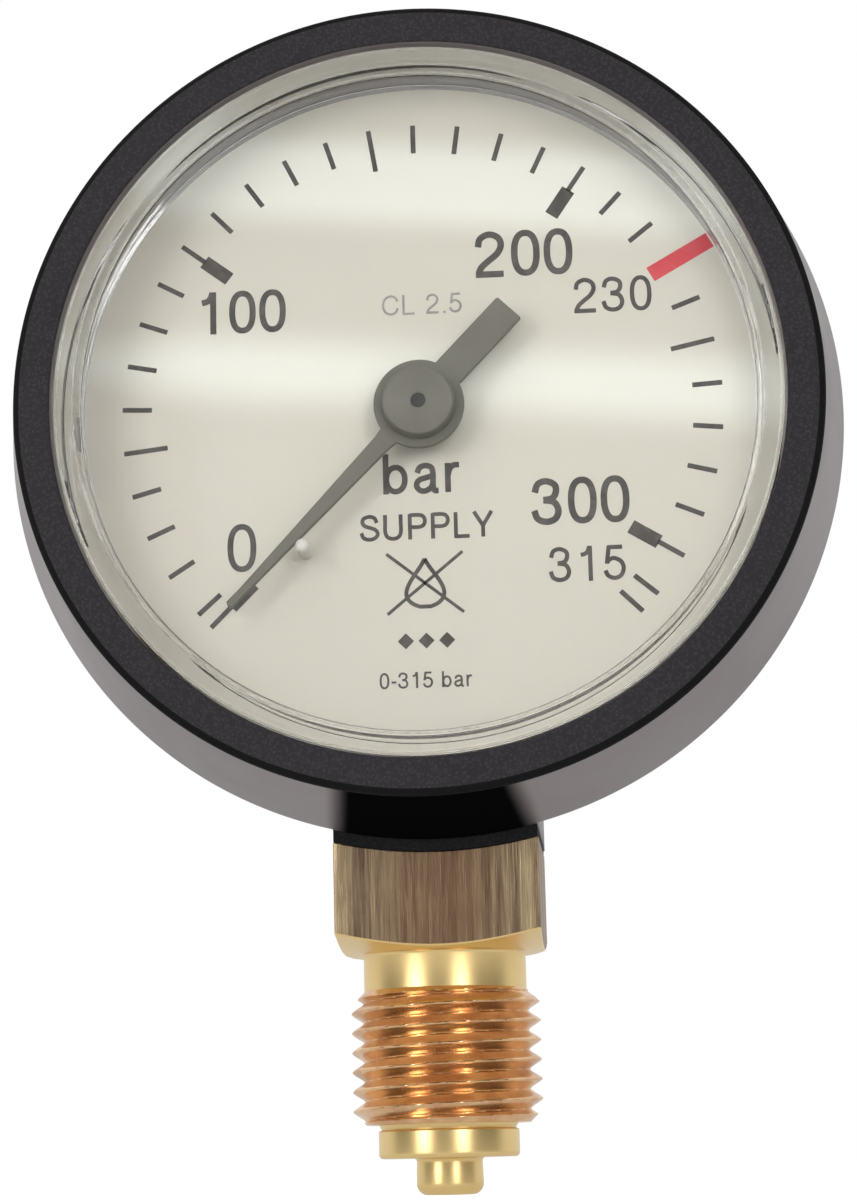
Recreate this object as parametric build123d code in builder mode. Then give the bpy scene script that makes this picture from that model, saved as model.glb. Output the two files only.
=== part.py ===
"""Cylinder contents gauge: a bottom-entry Bourdon tube pressure gauge, 0 to 315 bar.

Frame: the origin is on the stem axis at the shoulder under the wrench block. +Z points up to
the case and the dial faces -Y. The case axis runs along Y at the height case_axis_z.
Units are millimetres.
"""

import math
import os

from build123d import *

os.makedirs("parts", exist_ok=True)

# --- Case -------------------------------------------------------------------------------
case_radius = 29.1
rim_inset = 1.9
rim_width = 2.45
rim_front_y = -16.0
widest_y = -7.2
case_back_y = 10.0
case_wall = 3.2
back_inset = 2.2
rim_edge_break = 0.35
back_edge_fillet = 0.3
dial_ledge_width = 1.5
dial_ledge_depth = 1.6

# --- Back cover and its blow-out plug ----------------------------------------------------
cover_thickness = 2.0
cover_seat_width = 0.3
cover_gap = 0.1
plug_radius = 6.5
plug_height = 14.0
plug_flange_width = 1.0
plug_flange_thickness = 0.8

# --- Window and dial ---------------------------------------------------------------------
window_gap = 0.15
window_lip_recess = 0.4
window_lip_height = 0.7
window_lip_width = 1.7
window_thickness = 1.6
window_skirt = 1.3
window_bead = 0.2
window_bead_length = 0.8
groove_extra = 0.1
dial_front_y = -10.1
dial_thickness = 0.6
dial_gap = 0.25
dial_hole_radius = 1.6

# --- Stem --------------------------------------------------------------------------------
block_width = 14.0
block_height = 7.3
block_chamfer_angle = 18.0
shoulder_radius = 6.6
gasket_thickness = 0.8
gasket_inset = 0.05
neck_radius = 5.5
neck_gap = 0.1
thread_radius = 13.157 / 2
thread_pitch = 1.337
thread_depth = 0.856
thread_crest = 0.22
thread_root = 0.12
thread_end_chamfer = 0.9
thread_length = 9.1
undercut_depth = 0.93
undercut_length = 2.5
relief_length = 0.4
relief_depth = 0.25
nose_radius = 4.85
nose_length = 1.9
spigot_radius = 2.35
spigot_length = 2.5
spigot_round = 1.0
passage_radius = 0.9
drill_radius = 0.5

# --- Carrier: the upright of the socket inside the case ----------------------------------
carrier_width = 9.0
carrier_front_y = 1.0
carrier_top = 5.0
foot_width = 10.8
foot_front_y = -5.4
foot_height = 4.4
foot_gap = 0.15
cover_screw_heights = (-22.6, 2.2)
cover_screw_radius = 1.45
cover_screw_head_radius = 2.7
cover_screw_depth = 4.6

# --- Restrictor screw in the spigot bore --------------------------------------------------
restrictor_length = 4.0
restrictor_bore = 0.25
restrictor_slot = 0.4

# --- Bourdon tube ------------------------------------------------------------------------
coil_radius = 19.0
coil_pitch = 4.0
tube_width = 3.2
tube_thickness = 1.6
tube_wall = 0.45
tube_back_y = 4.4
tube_root_angle = -94.0
tube_corner_gap = 0.01
brazed_share = 0.05

# --- Movement ----------------------------------------------------------------------------
plate_thickness = 0.8
plate_space = 5.2
gear_module = 0.25
pinion_teeth = 8
sector_full_teeth = 80
sector_travel = 27.0
spare_teeth = 2
sector_thickness = 0.8
sector_back_y = -2.6
sector_rim_width = 1.7
pinion_length = 1.2
tooth_tip = 0.22
tooth_root = 0.32
leaf_share = 0.34
tooth_share = 0.44
leaf_point = 0.5
tooth_point = 0.45
web_angle = 12.0
web_width_angle = 5.0
web_start = 0.3
sector_hub_width = 1.3
plate_boss_radius = 3.2
arbor_radius = 0.5
pivot_radius = 0.35
pivot_gap = 0.03
sector_arbor_radius = 0.7
tail_length = 5.0
tail_width = 1.7
eye_radius = 1.05
tip_pin_radius = 0.4
tip_arm_length = 13.0
link_pin_gap = 0.03
open_pivot_gap = 0.12
link_thickness = 0.4
link_lift = 0.1
link_width = 1.1
pin_head_radius = 0.75
pin_head = 0.3
end_cap_span = 7.0
end_cap_wall = 0.5
end_cap_gap_angle = 0.2
arm_width = 2.0
arm_thickness = 1.0
pillar_radius = 1.2
pillar_spigot = 0.6
top_pillar_height = 6.0
right_pillar_across = 6.5
left_pillar_place = (-8.0, -5.0)
pillar_screw_radius = 0.6
pillar_screw_head = 1.1
pillar_screw_length = 3.0
movement_screws = ((-2.8, -5.5), (2.8, -5.5))
movement_screw_radius = 0.8
movement_screw_head = 1.35
movement_screw_length = 4.0
small_head_height = 0.7
screw_slot = 0.35
screw_gap = 0.05

# --- Hairspring --------------------------------------------------------------------------
hairspring_turns = 5
hairspring_inner = 0.95
hairspring_outer = 4.2
hairspring_strip = 0.08
hairspring_width = 0.4
hairspring_back_y = -4.0
hairspring_steps = 16
collet_length = 0.8
stud_width = 0.9
stud_angle = 155.0

# --- Pointer and stop pin ----------------------------------------------------------------
pointer_zero_angle = 225.8
pointer_back_y = -11.6
pointer_thickness = 0.4
pointer_disc_radius = 3.1
pointer_reach = 18.7
pointer_root_half = 0.74
pointer_tip_half = 0.25
pointer_tail_reach = 9.1
pointer_tail_half = 1.12
hub_radius = 2.5
hub_height = 1.0
hub_bush_radius = 1.0
hub_bush_length = 0.5
arbor_front_recess = 0.2
stop_pin_radius = 0.5
stop_pin_place = 12.6
stop_pin_front_y = -12.7
stop_pin_gap = 0.03

# --- Values worked out from the driving sizes --------------------------------------------
case_axis_z = case_radius + block_height
case_axis = Axis((0, 0, case_axis_z), (0, 1, 0))
rim_radius = case_radius - rim_inset
case_back_radius = case_radius - back_inset
pad_width = block_width - 2 * gasket_inset
mouth_radius = rim_radius - rim_width
body_bore_radius = case_radius - case_wall
cover_seat_radius = body_bore_radius + cover_seat_width
cover_front_y = case_back_y - cover_thickness
ledge_front_y = dial_front_y + dial_thickness
ledge_back_y = ledge_front_y + dial_ledge_depth
ledge_radius = mouth_radius - dial_ledge_width
window_radius = mouth_radius - window_gap
window_lip_y = rim_front_y + window_lip_recess
window_front_y = window_lip_y + window_lip_height
window_back_y = window_front_y + window_thickness
block_saddle_radius = case_radius + gasket_thickness
undercut_radius = thread_radius - undercut_depth
thread_top = -undercut_length
thread_bottom = thread_top - thread_length
nose_top = thread_bottom - relief_length
relief_radius = nose_radius - relief_depth
nose_bottom = nose_top - nose_length
spigot_bottom = nose_bottom - spigot_length
sector_pitch_radius = gear_module * sector_full_teeth / 2
pinion_pitch_radius = gear_module * pinion_teeth / 2
sector_offset = sector_pitch_radius + pinion_pitch_radius
sector_front_y = sector_back_y - sector_thickness
plate_back_y = carrier_front_y
front_plate_back_y = plate_back_y - plate_thickness - plate_space
front_plate_front_y = front_plate_back_y - plate_thickness
pointer_front_y = pointer_back_y - pointer_thickness
hub_front_y = pointer_front_y - hub_height
link_back_y = sector_front_y - link_lift
link_front_y = link_back_y - link_thickness

# The sector's tail and the tip arm stand square to the link at half travel.
tail_lean = math.degrees(math.acos((tip_arm_length - tail_length) / sector_offset))
tail_mid_angle = -90.0 - tail_lean
link_length = sector_offset * math.sin(math.radians(tail_lean))
tail_rest_angle = tail_mid_angle - sector_travel / 2


def polar(radius: float, angle: float, centre: tuple = (0.0, 0.0)) -> tuple:
    """The point at a radius and an angle in degrees round a centre."""
    turn = math.radians(angle)
    return (centre[0] + radius * math.cos(turn), centre[1] + radius * math.sin(turn))


sector_centre = (0.0, -sector_offset)
pillar_places = (
    (0.0, top_pillar_height),
    (right_pillar_across, -sector_offset),
    left_pillar_place,
)
tail_pin_place = polar(tail_length, tail_rest_angle, sector_centre)
tail_pin_far = math.hypot(*tail_pin_place)
tail_pin_angle = math.degrees(math.atan2(tail_pin_place[1], tail_pin_place[0]))
tip_cosine = (tip_arm_length**2 + tail_pin_far**2 - link_length**2) / (
    2 * tip_arm_length * tail_pin_far
)
tip_rest_angle = tail_pin_angle - math.degrees(math.acos(tip_cosine))
if tip_rest_angle < -180.0:
    tip_rest_angle += 360.0
tip_pin_place = polar(tip_arm_length, tip_rest_angle)
tube_end_angle = tip_rest_angle + end_cap_span - 720.0
tube_turns = (tube_root_angle - tube_end_angle) / 360.0
tube_front_y = tube_back_y - coil_pitch * tube_turns
tube_corner = tube_thickness / 2 - tube_corner_gap


def facing(y: float) -> Plane:
    """The plane at depth y that faces the viewer, with its origin on the case axis."""
    return Plane(origin=(0, y, case_axis_z), x_dir=(1, 0, 0), z_dir=(0, -1, 0))


case_section = Plane.XY.offset(case_axis_z)


def save(piece: BuildPart, name: str) -> None:
    """Label a finished piece and write it as its own STEP file."""
    piece.part.label = name
    export_step(piece.part, f"parts/{name}.step")


def closed_line(points: list) -> None:
    """Fill the outline through the points, inside a sketch."""
    Polygon(*points, align=None)


def arc_points(radius: float, start: float, end: float, centre: tuple = (0.0, 0.0)) -> list:
    """Start, middle and end point of an arc, for ThreePointArc."""
    middle = (start + end) / 2
    return [polar(radius, angle, centre) for angle in (start, middle, end)]


def disc_part(y: float, radius: float, length: float, centre: tuple = (0.0, 0.0)) -> BuildPart:
    """A round bar towards the viewer from depth y."""
    with BuildPart() as bar:
        with BuildSketch(facing(y)):
            with Locations(centre):
                Circle(radius)
        extrude(amount=length)
    return bar


# =========================================================================================
# Case
# =========================================================================================
def make_case_shell() -> None:
    """The moulded case: rim, flared side, tapered back, stem pad, ledge and neck slot."""
    groove_y = window_back_y - window_bead_length
    with BuildPart() as case_shell:
        with BuildSketch(case_section):
            closed_line(
                [
                    (mouth_radius, rim_front_y),
                    (rim_radius - rim_edge_break, rim_front_y),
                    (rim_radius, rim_front_y + rim_edge_break),
                    (case_radius, widest_y),
                    (case_back_radius, case_back_y),
                    (cover_seat_radius, case_back_y),
                    (cover_seat_radius, cover_front_y),
                    (body_bore_radius, cover_front_y),
                    (body_bore_radius, ledge_back_y),
                    (ledge_radius, ledge_back_y),
                    (ledge_radius, ledge_front_y),
                    (mouth_radius, ledge_front_y),
                    (mouth_radius, window_back_y),
                    (mouth_radius + window_bead + groove_extra, window_back_y),
                    (mouth_radius + window_bead + groove_extra, groove_y),
                    (mouth_radius, groove_y),
                ]
            )
        revolve(axis=case_axis)
        back_edge = case_shell.edges().filter_by(GeomType.CIRCLE).filter_by(
            lambda edge: abs(edge.radius - case_back_radius) < 0.01
        )
        fillet(back_edge.sort_by(Axis.Y)[-1], radius=back_edge_fillet)
        # The pad under the taper, which the stem's gasket bears on.
        with BuildSketch(facing(case_back_y)):
            Circle(case_radius)
            Circle((cover_seat_radius + case_back_radius) / 2, mode=Mode.SUBTRACT)
            with Locations((0, -case_radius)):
                Rectangle(pad_width, 4 * case_wall, mode=Mode.INTERSECT)
        extrude(amount=case_back_y - widest_y)
        with BuildSketch(Plane.XY):
            Circle(neck_radius + neck_gap)
            with Locations((0, case_back_y)):
                Rectangle(2 * (neck_radius + neck_gap), 2 * case_back_y)
        extrude(amount=case_axis_z - ledge_radius / 2, mode=Mode.SUBTRACT)
    save(case_shell, "case_shell")


def make_back_cover() -> None:
    """The back cover, with the tongue that closes the neck slot and the blow-out hole."""
    with BuildPart() as back_cover:
        with BuildSketch(facing(case_back_y)):
            Circle(cover_seat_radius - cover_gap)
        extrude(amount=cover_thickness)
        with BuildSketch(facing(case_back_y)):
            Circle(case_radius - cover_gap)
            Circle(body_bore_radius + cover_gap, mode=Mode.SUBTRACT)
            with Locations((0, -case_radius)):
                Rectangle(2 * neck_radius, 2 * case_wall * 2, mode=Mode.INTERSECT)
        extrude(amount=case_back_y)
        with BuildSketch(Plane.XY):
            Circle(neck_radius + neck_gap)
        extrude(amount=case_axis_z - ledge_radius, mode=Mode.SUBTRACT)
        with BuildSketch(facing(case_back_y)):
            with Locations((0, plug_height)):
                Circle(plug_radius)
        extrude(amount=cover_thickness, mode=Mode.SUBTRACT)
        for height in cover_screw_heights:
            with BuildSketch(facing(case_back_y)):
                with Locations((0, height)):
                    Circle(cover_screw_radius + screw_gap)
            extrude(amount=cover_thickness, mode=Mode.SUBTRACT)
            with BuildSketch(facing(case_back_y)):
                with Locations((0, height)):
                    Circle(cover_screw_head_radius + screw_gap)
            cone_depth = cover_screw_head_radius - cover_screw_radius
            extrude(amount=cone_depth, taper=45, mode=Mode.SUBTRACT)
    save(back_cover, "back_cover")


def make_blowout_plug() -> None:
    """The soft plug pressed into the back cover, with a flange inside and out."""
    with BuildPart() as blowout_plug:
        with BuildSketch(facing(case_back_y)):
            with Locations((0, plug_height)):
                Circle(plug_radius)
        extrude(amount=cover_thickness)
        with BuildSketch(facing(case_back_y + plug_flange_thickness)):
            with Locations((0, plug_height)):
                Circle(plug_radius + plug_flange_width)
        extrude(amount=plug_flange_thickness)
        outer_edges = blowout_plug.faces().sort_by(Axis.Y)[-1].edges()
        fillet(outer_edges, radius=plug_flange_thickness / 2)
        with BuildSketch(facing(cover_front_y)):
            with Locations((0, plug_height)):
                Circle(plug_radius + plug_flange_width / 2)
        extrude(amount=plug_flange_thickness)
    save(blowout_plug, "blowout_plug")


def make_cover_screws() -> None:
    """Two countersunk screws through the back cover into the carrier."""
    cone_depth = cover_screw_head_radius - cover_screw_radius
    with BuildPart() as cover_screws:
        for height in cover_screw_heights:
            with BuildSketch(facing(case_back_y)):
                with Locations((0, height)):
                    Circle(cover_screw_radius)
            extrude(amount=cover_thickness + cover_screw_depth)
            with BuildSketch(facing(case_back_y)):
                with Locations((0, height)):
                    Circle(cover_screw_head_radius)
            extrude(amount=cone_depth, taper=45)
            with BuildSketch(facing(case_back_y)):
                with Locations((0, height)):
                    SlotOverall(2 * cover_screw_radius, screw_slot)
                    SlotOverall(2 * cover_screw_radius, screw_slot, rotation=90)
            extrude(amount=cone_depth, mode=Mode.SUBTRACT)
    save(cover_screws, "cover_screws")


# =========================================================================================
# Window, dial and stop pin
# =========================================================================================
def make_window() -> None:
    """The clear snap-in window: stepped lip, flat disc, skirt to the dial and snap bead."""
    bead_middle_y = window_back_y - window_bead_length / 2
    with BuildPart() as window:
        with BuildSketch(case_section):
            closed_line(
                [
                    (0, window_front_y),
                    (window_radius - window_lip_width, window_front_y),
                    (window_radius - window_lip_width + window_lip_height / 2, window_lip_y),
                    (window_radius, window_lip_y),
                    (window_radius, window_back_y - window_bead_length),
                    (window_radius + window_bead, bead_middle_y),
                    (window_radius, window_back_y),
                    (window_radius, dial_front_y),
                    (window_radius - window_skirt, dial_front_y),
                    (window_radius - window_skirt, window_back_y),
                    (0, window_back_y),
                ]
            )
        revolve(axis=case_axis)
    save(window, "window")


def make_dial() -> None:
    """The dial plate, held between the window's skirt and the case's ledge."""
    stop_angle = stop_pin_angle()
    with BuildPart() as dial:
        with BuildSketch(facing(dial_front_y + dial_thickness)):
            Circle(mouth_radius - dial_gap)
            Circle(dial_hole_radius, mode=Mode.SUBTRACT)
            with Locations(polar(stop_pin_place, stop_angle)):
                Circle(stop_pin_radius, mode=Mode.SUBTRACT)
        extrude(amount=dial_thickness)
    save(dial, "dial")


def pointer_half_width(radius: float) -> float:
    """The pointer blade's half width at a radius: a straight taper from hub to tip."""
    share = (radius - hub_radius) / (pointer_reach - hub_radius)
    return pointer_root_half + (pointer_tip_half - pointer_root_half) * share


def stop_pin_angle() -> float:
    """The angle at which the stop pin touches the blade's lower edge at zero pressure."""
    side = pointer_half_width(stop_pin_place) + stop_pin_radius + stop_pin_gap
    return pointer_zero_angle + math.degrees(math.asin(side / stop_pin_place))


def make_stop_pin() -> None:
    """The zero stop: a round-ended pin pressed through the dial."""
    length = dial_front_y + dial_thickness - stop_pin_front_y
    with BuildPart() as stop_pin:
        with BuildSketch(facing(dial_front_y + dial_thickness)):
            with Locations(polar(stop_pin_place, stop_pin_angle())):
                Circle(stop_pin_radius)
        extrude(amount=length)
        fillet(stop_pin.faces().sort_by(Axis.Y)[0].edges(), radius=0.8 * stop_pin_radius)
    save(stop_pin, "stop_pin")


# =========================================================================================
# Stem and socket
# =========================================================================================
def make_stem_gasket() -> None:
    """The black pad between the wrench block's saddle and the case."""
    with BuildPart() as stem_gasket:
        with BuildSketch(facing(pad_width / 2)):
            Circle(block_saddle_radius)
            Circle(case_radius, mode=Mode.SUBTRACT)
            with Locations((0, -case_radius)):
                Rectangle(pad_width, 4 * gasket_thickness + pad_width / 2, mode=Mode.INTERSECT)
        extrude(amount=pad_width)
        with BuildSketch(Plane.XY):
            Circle(neck_radius + neck_gap / 2)
        extrude(amount=case_axis_z, mode=Mode.SUBTRACT)
    save(stem_gasket, "stem_gasket")


def tube_path() -> Edge:
    """The Bourdon tube's centre line: a left-hand helix round the case axis."""
    start_plane = Plane(
        origin=(0, tube_back_y, case_axis_z),
        x_dir=Vector(*polar_in_space(1.0, tube_root_angle)),
        z_dir=(0, -1, 0),
    )
    height = coil_pitch * tube_turns
    return start_plane.location * Helix(coil_pitch, height, coil_radius, lefthand=True)


def polar_in_space(radius: float, angle: float) -> tuple:
    """A radial direction from the case axis, as a vector in X and Z."""
    across, up = polar(radius, angle)
    return (across, 0.0, up)


def tube_section_plane(path: Edge) -> Plane:
    """The plane square to the tube at its root, with its x direction along the case axis."""
    return Plane(origin=path @ 0, x_dir=(0, -1, 0), z_dir=path % 0)


def make_socket() -> None:
    """The brass socket: thread, wrench block, neck, foot and carrier, with its passage."""
    path = tube_path()
    tube_root = path @ 0
    root_height = coil_radius + foot_gap
    chamfer_rise = math.tan(math.radians(block_chamfer_angle))
    corner = block_width * 0.75
    core_radius = thread_radius - thread_depth
    groove_half = (thread_pitch - thread_crest) / 2
    groove_start_z = thread_bottom - thread_pitch / 2
    groove_turns = math.ceil(thread_length / thread_pitch) + 1
    with BuildPart() as socket:
        with BuildSketch(Plane.XY):
            Rectangle(block_width, block_width)
        extrude(amount=case_axis_z - case_radius)
        with BuildSketch(Plane.XZ):
            closed_line(
                [
                    (0, 0),
                    (shoulder_radius, 0),
                    (corner, (corner - shoulder_radius) * chamfer_rise),
                    (corner, case_axis_z),
                    (0, case_axis_z),
                ]
            )
        revolve(axis=Axis.Z, mode=Mode.INTERSECT)
        with BuildSketch(facing(block_width)):
            Circle(block_saddle_radius)
        extrude(amount=2 * block_width, mode=Mode.SUBTRACT)
        with BuildSketch(Plane.XY):
            Circle(neck_radius)
        extrude(amount=case_axis_z - body_bore_radius + foot_gap + 1.0)
        foot_bottom = -math.sqrt((body_bore_radius - foot_gap) ** 2 - (foot_width / 2) ** 2)
        with BuildSketch(facing(cover_front_y)):
            with Locations((0, foot_bottom)):
                Rectangle(foot_width, foot_height, align=(Align.CENTER, Align.MIN))
        extrude(amount=cover_front_y - foot_front_y)
        with BuildSketch(facing(cover_front_y)):
            with Locations((0, carrier_top)):
                Rectangle(
                    carrier_width,
                    carrier_top - foot_bottom,
                    align=(Align.CENTER, Align.MAX),
                )
        extrude(amount=cover_front_y - carrier_front_y)
        fillet(
            socket.edges().filter_by(Axis.Y).group_by(Axis.Z)[-1],
            radius=carrier_width / 6,
        )
        with BuildSketch(Plane.XZ):
            with BuildLine():
                Polyline(
                    (0, 0),
                    (undercut_radius, 0),
                    (undercut_radius, thread_top),
                    (thread_radius, thread_top - thread_end_chamfer),
                    (thread_radius, thread_bottom + thread_end_chamfer),
                    (relief_radius + thread_end_chamfer, thread_bottom),
                    (relief_radius, thread_bottom),
                    (relief_radius, nose_top),
                    (nose_radius, nose_top),
                    (nose_radius, nose_bottom),
                    (spigot_radius, nose_bottom),
                    (spigot_radius, spigot_bottom + spigot_round),
                )
                RadiusArc(
                    (spigot_radius, spigot_bottom + spigot_round),
                    (spigot_radius - spigot_round, spigot_bottom),
                    spigot_round,
                )
                Polyline((spigot_radius - spigot_round, spigot_bottom), (0, spigot_bottom), (0, 0))
            make_face()
        revolve(axis=Axis.Z)
        # The thread: one turn of the groove at a time, along a right-hand helix.
        for turn in range(groove_turns):
            start_z = groove_start_z + turn * thread_pitch
            groove_path = Helix(
                thread_pitch,
                thread_pitch,
                core_radius,
                center=(0, 0, start_z),
                mode=Mode.PRIVATE,
            )
            with BuildSketch(Plane.XZ):
                closed_line(
                    [
                        (core_radius, start_z - thread_root / 2),
                        (core_radius, start_z + thread_root / 2),
                        (thread_radius + thread_root, start_z + groove_half + thread_root / 2),
                        (thread_radius + thread_root, start_z - groove_half - thread_root / 2),
                    ]
                )
            sweep(path=groove_path, is_frenet=True, mode=Mode.SUBTRACT)
        # The gas passage: up the stem, then a slanting drilling to the tube's root.
        with BuildSketch(Plane.XY.offset(spigot_bottom)):
            Circle(passage_radius)
        passage_top = case_axis_z - root_height - foot_height
        extrude(amount=passage_top - spigot_bottom, mode=Mode.SUBTRACT)
        drill_start = Vector(0, 0, passage_top - passage_radius)
        with BuildSketch(Plane(origin=drill_start, z_dir=tube_root - drill_start)):
            Circle(drill_radius)
        extrude(amount=(tube_root - drill_start).length, mode=Mode.SUBTRACT)
        # The tube's seat: the shape of its first stretch, which is brazed in.
        with BuildSketch(tube_section_plane(path)):
            RectangleRounded(tube_width, tube_thickness, tube_corner)
        sweep(path=path.trim(0, brazed_share), is_frenet=True, mode=Mode.SUBTRACT)
        for height in cover_screw_heights:
            with BuildSketch(facing(cover_front_y)):
                with Locations((0, height)):
                    Circle(cover_screw_radius + screw_gap)
            extrude(amount=cover_screw_depth + screw_gap, mode=Mode.SUBTRACT)
        for place in movement_screws:
            with BuildSketch(facing(carrier_front_y)):
                with Locations(place):
                    Circle(movement_screw_radius + screw_gap)
            extrude(amount=-movement_screw_length, mode=Mode.SUBTRACT)
        for place in ((0.0, 0.0), sector_centre):
            with BuildSketch(facing(carrier_front_y)):
                with Locations(place):
                    Circle(sector_arbor_radius + pillar_spigot)
            extrude(amount=-2 * plate_thickness, mode=Mode.SUBTRACT)
    save(socket, "socket")


def make_restrictor_screw() -> None:
    """The restrictor pressed into the stem's bore: a fine hole that slows the gas."""
    slot_depth = 2 * restrictor_slot
    with BuildPart() as restrictor_screw:
        with BuildSketch(Plane.XY.offset(nose_bottom)):
            Circle(passage_radius)
            Circle(restrictor_bore, mode=Mode.SUBTRACT)
        extrude(amount=restrictor_length)
        with BuildSketch(Plane.XY.offset(nose_bottom)):
            Rectangle(2 * passage_radius, restrictor_slot)
        extrude(amount=slot_depth, mode=Mode.SUBTRACT)
    save(restrictor_screw, "restrictor_screw")


# =========================================================================================
# Bourdon tube and its end piece
# =========================================================================================
def make_bourdon_tube() -> None:
    """The flattened tube, wound as a helix of about two turns and closed by the end piece."""
    path = tube_path()
    with BuildPart() as bourdon_tube:
        with BuildSketch(tube_section_plane(path)):
            RectangleRounded(tube_width, tube_thickness, tube_corner)
            RectangleRounded(
                tube_width - 2 * tube_wall,
                tube_thickness - 2 * tube_wall,
                tube_corner - tube_wall,
                mode=Mode.SUBTRACT,
            )
        sweep(path=path, is_frenet=True)
    save(bourdon_tube, "bourdon_tube")


def make_tube_end_piece() -> None:
    """The cap brazed on the tube's end, with the arm that carries the link's pin."""
    cap_half = tube_thickness / 2 + end_cap_wall
    cap_angle = tip_rest_angle + end_cap_span - end_cap_gap_angle
    cap_back_y = tube_front_y + tube_width / 2 + end_cap_wall
    arm_back_y = link_back_y + link_lift + arm_thickness
    arm_middle = polar((coil_radius + tip_arm_length) / 2, tip_rest_angle)
    arm_place = Location((arm_middle[0], arm_middle[1], 0), (0, 0, tip_rest_angle))
    with BuildPart() as tube_end_piece:
        with BuildSketch(facing(cap_back_y)):
            with BuildLine():
                outer = arc_points(coil_radius + cap_half, cap_angle, tip_rest_angle - end_cap_span)
                inner = arc_points(coil_radius - cap_half, tip_rest_angle - end_cap_span, cap_angle)
                ThreePointArc(*outer)
                Line(outer[-1], inner[0])
                ThreePointArc(*inner)
                Line(inner[-1], outer[0])
            make_face()
        extrude(amount=tube_width + 2 * end_cap_wall)
        with BuildSketch(facing(arm_back_y)):
            with Locations(tip_pin_place):
                Circle(eye_radius)
            with Locations(arm_place):
                Rectangle(coil_radius - tip_arm_length, arm_width)
        extrude(amount=arm_thickness)
        with BuildSketch(facing(arm_back_y)):
            with Locations(tip_pin_place):
                Circle(tip_pin_radius)
        extrude(amount=arm_thickness, mode=Mode.SUBTRACT)
    save(tube_end_piece, "tube_end_piece")


def make_link_pin(name: str, place: tuple, back_y: float) -> None:
    """A shouldered pin riveted in an arm, whose far end carries the link."""
    pin_front_y = link_front_y - link_lift
    with BuildPart() as pin:
        with BuildSketch(facing(back_y)):
            with Locations(place):
                Circle(tip_pin_radius)
        extrude(amount=back_y - pin_front_y)
        with BuildSketch(facing(pin_front_y)):
            with Locations(place):
                Circle(pin_head_radius)
        extrude(amount=pin_head)
    save(pin, name)


# =========================================================================================
# Movement
# =========================================================================================
def plate_outline() -> None:
    """The outline that both movement plates share, drawn inside a sketch."""
    Circle(plate_boss_radius)
    with Locations(*pillar_places):
        Circle(pillar_radius + plate_thickness)
    with Locations(sector_centre):
        Circle(sector_arbor_radius + pillar_radius)
    make_hull()


def make_plates() -> None:
    """The back plate on the carrier and the front plate on the pillars."""
    with BuildPart() as back_plate:
        with BuildSketch(facing(plate_back_y)):
            plate_outline()
            with Locations((0, 0), sector_centre):
                Circle(pivot_radius + pivot_gap, mode=Mode.SUBTRACT)
            with Locations(*pillar_places):
                Circle(pillar_spigot, mode=Mode.SUBTRACT)
            with Locations(*movement_screws):
                Circle(movement_screw_radius + screw_gap, mode=Mode.SUBTRACT)
        extrude(amount=plate_thickness)
    save(back_plate, "back_plate")
    with BuildPart() as front_plate:
        with BuildSketch(facing(front_plate_back_y)):
            plate_outline()
            Circle(arbor_radius + pivot_gap, mode=Mode.SUBTRACT)
            with Locations(sector_centre):
                Circle(pivot_radius + pivot_gap, mode=Mode.SUBTRACT)
            with Locations(*pillar_places):
                Circle(pillar_screw_radius + screw_gap, mode=Mode.SUBTRACT)
        extrude(amount=plate_thickness)
    save(front_plate, "front_plate")


def make_pillars() -> None:
    """Three pillars riveted in the back plate, drilled for the front plate's screws."""
    with BuildPart() as plate_pillars:
        with BuildSketch(facing(plate_back_y - plate_thickness)):
            with Locations(*pillar_places):
                Circle(pillar_radius)
        extrude(amount=plate_space)
        with BuildSketch(facing(plate_back_y)):
            with Locations(*pillar_places):
                Circle(pillar_spigot)
        extrude(amount=plate_thickness)
        with BuildSketch(facing(front_plate_back_y)):
            with Locations(*pillar_places):
                Circle(pillar_screw_radius + screw_gap)
        extrude(amount=-pillar_screw_length, mode=Mode.SUBTRACT)
    save(plate_pillars, "plate_pillars")


def make_small_screws(name: str, places: tuple, seat_y: float, sizes: tuple) -> None:
    """Cheese-head screws whose heads sit on the plane at seat_y and face the viewer."""
    shank_radius, head_radius, shank_length = sizes
    with BuildPart() as screws:
        for place in places:
            with BuildSketch(facing(seat_y)):
                with Locations(place):
                    Circle(head_radius)
            extrude(amount=small_head_height)
            with BuildSketch(facing(seat_y)):
                with Locations(place):
                    Circle(shank_radius)
            extrude(amount=-shank_length)
            with BuildSketch(facing(seat_y - small_head_height)):
                with Locations(place):
                    Rectangle(3 * head_radius, screw_slot)
            extrude(amount=-screw_slot, mode=Mode.SUBTRACT)
    save(screws, name)


def tooth_outline(
    centre: tuple, pitch_radius: float, angle: float, share: float, point: float
) -> None:
    """One tooth that stands out of a wheel: wide at the root, narrow at the tip.

    share is the tooth's part of the circular pitch at the pitch radius, and point is the
    tip's width as a part of that.
    """
    root_radius = pitch_radius - tooth_root
    tip_radius = pitch_radius + tooth_tip
    half_pitch = math.degrees(math.pi * gear_module * share / 2 / pitch_radius)
    half_root = half_pitch * pitch_radius / root_radius
    half_tip = half_pitch * point * pitch_radius / tip_radius
    closed_line(
        [
            polar(root_radius - tooth_root / 4, angle - half_root, centre),
            polar(root_radius, angle - half_root, centre),
            polar(pitch_radius, angle - half_pitch, centre),
            polar(tip_radius, angle - half_tip, centre),
            polar(tip_radius, angle + half_tip, centre),
            polar(pitch_radius, angle + half_pitch, centre),
            polar(root_radius, angle + half_root, centre),
            polar(root_radius - tooth_root / 4, angle + half_root, centre),
        ]
    )


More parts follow.
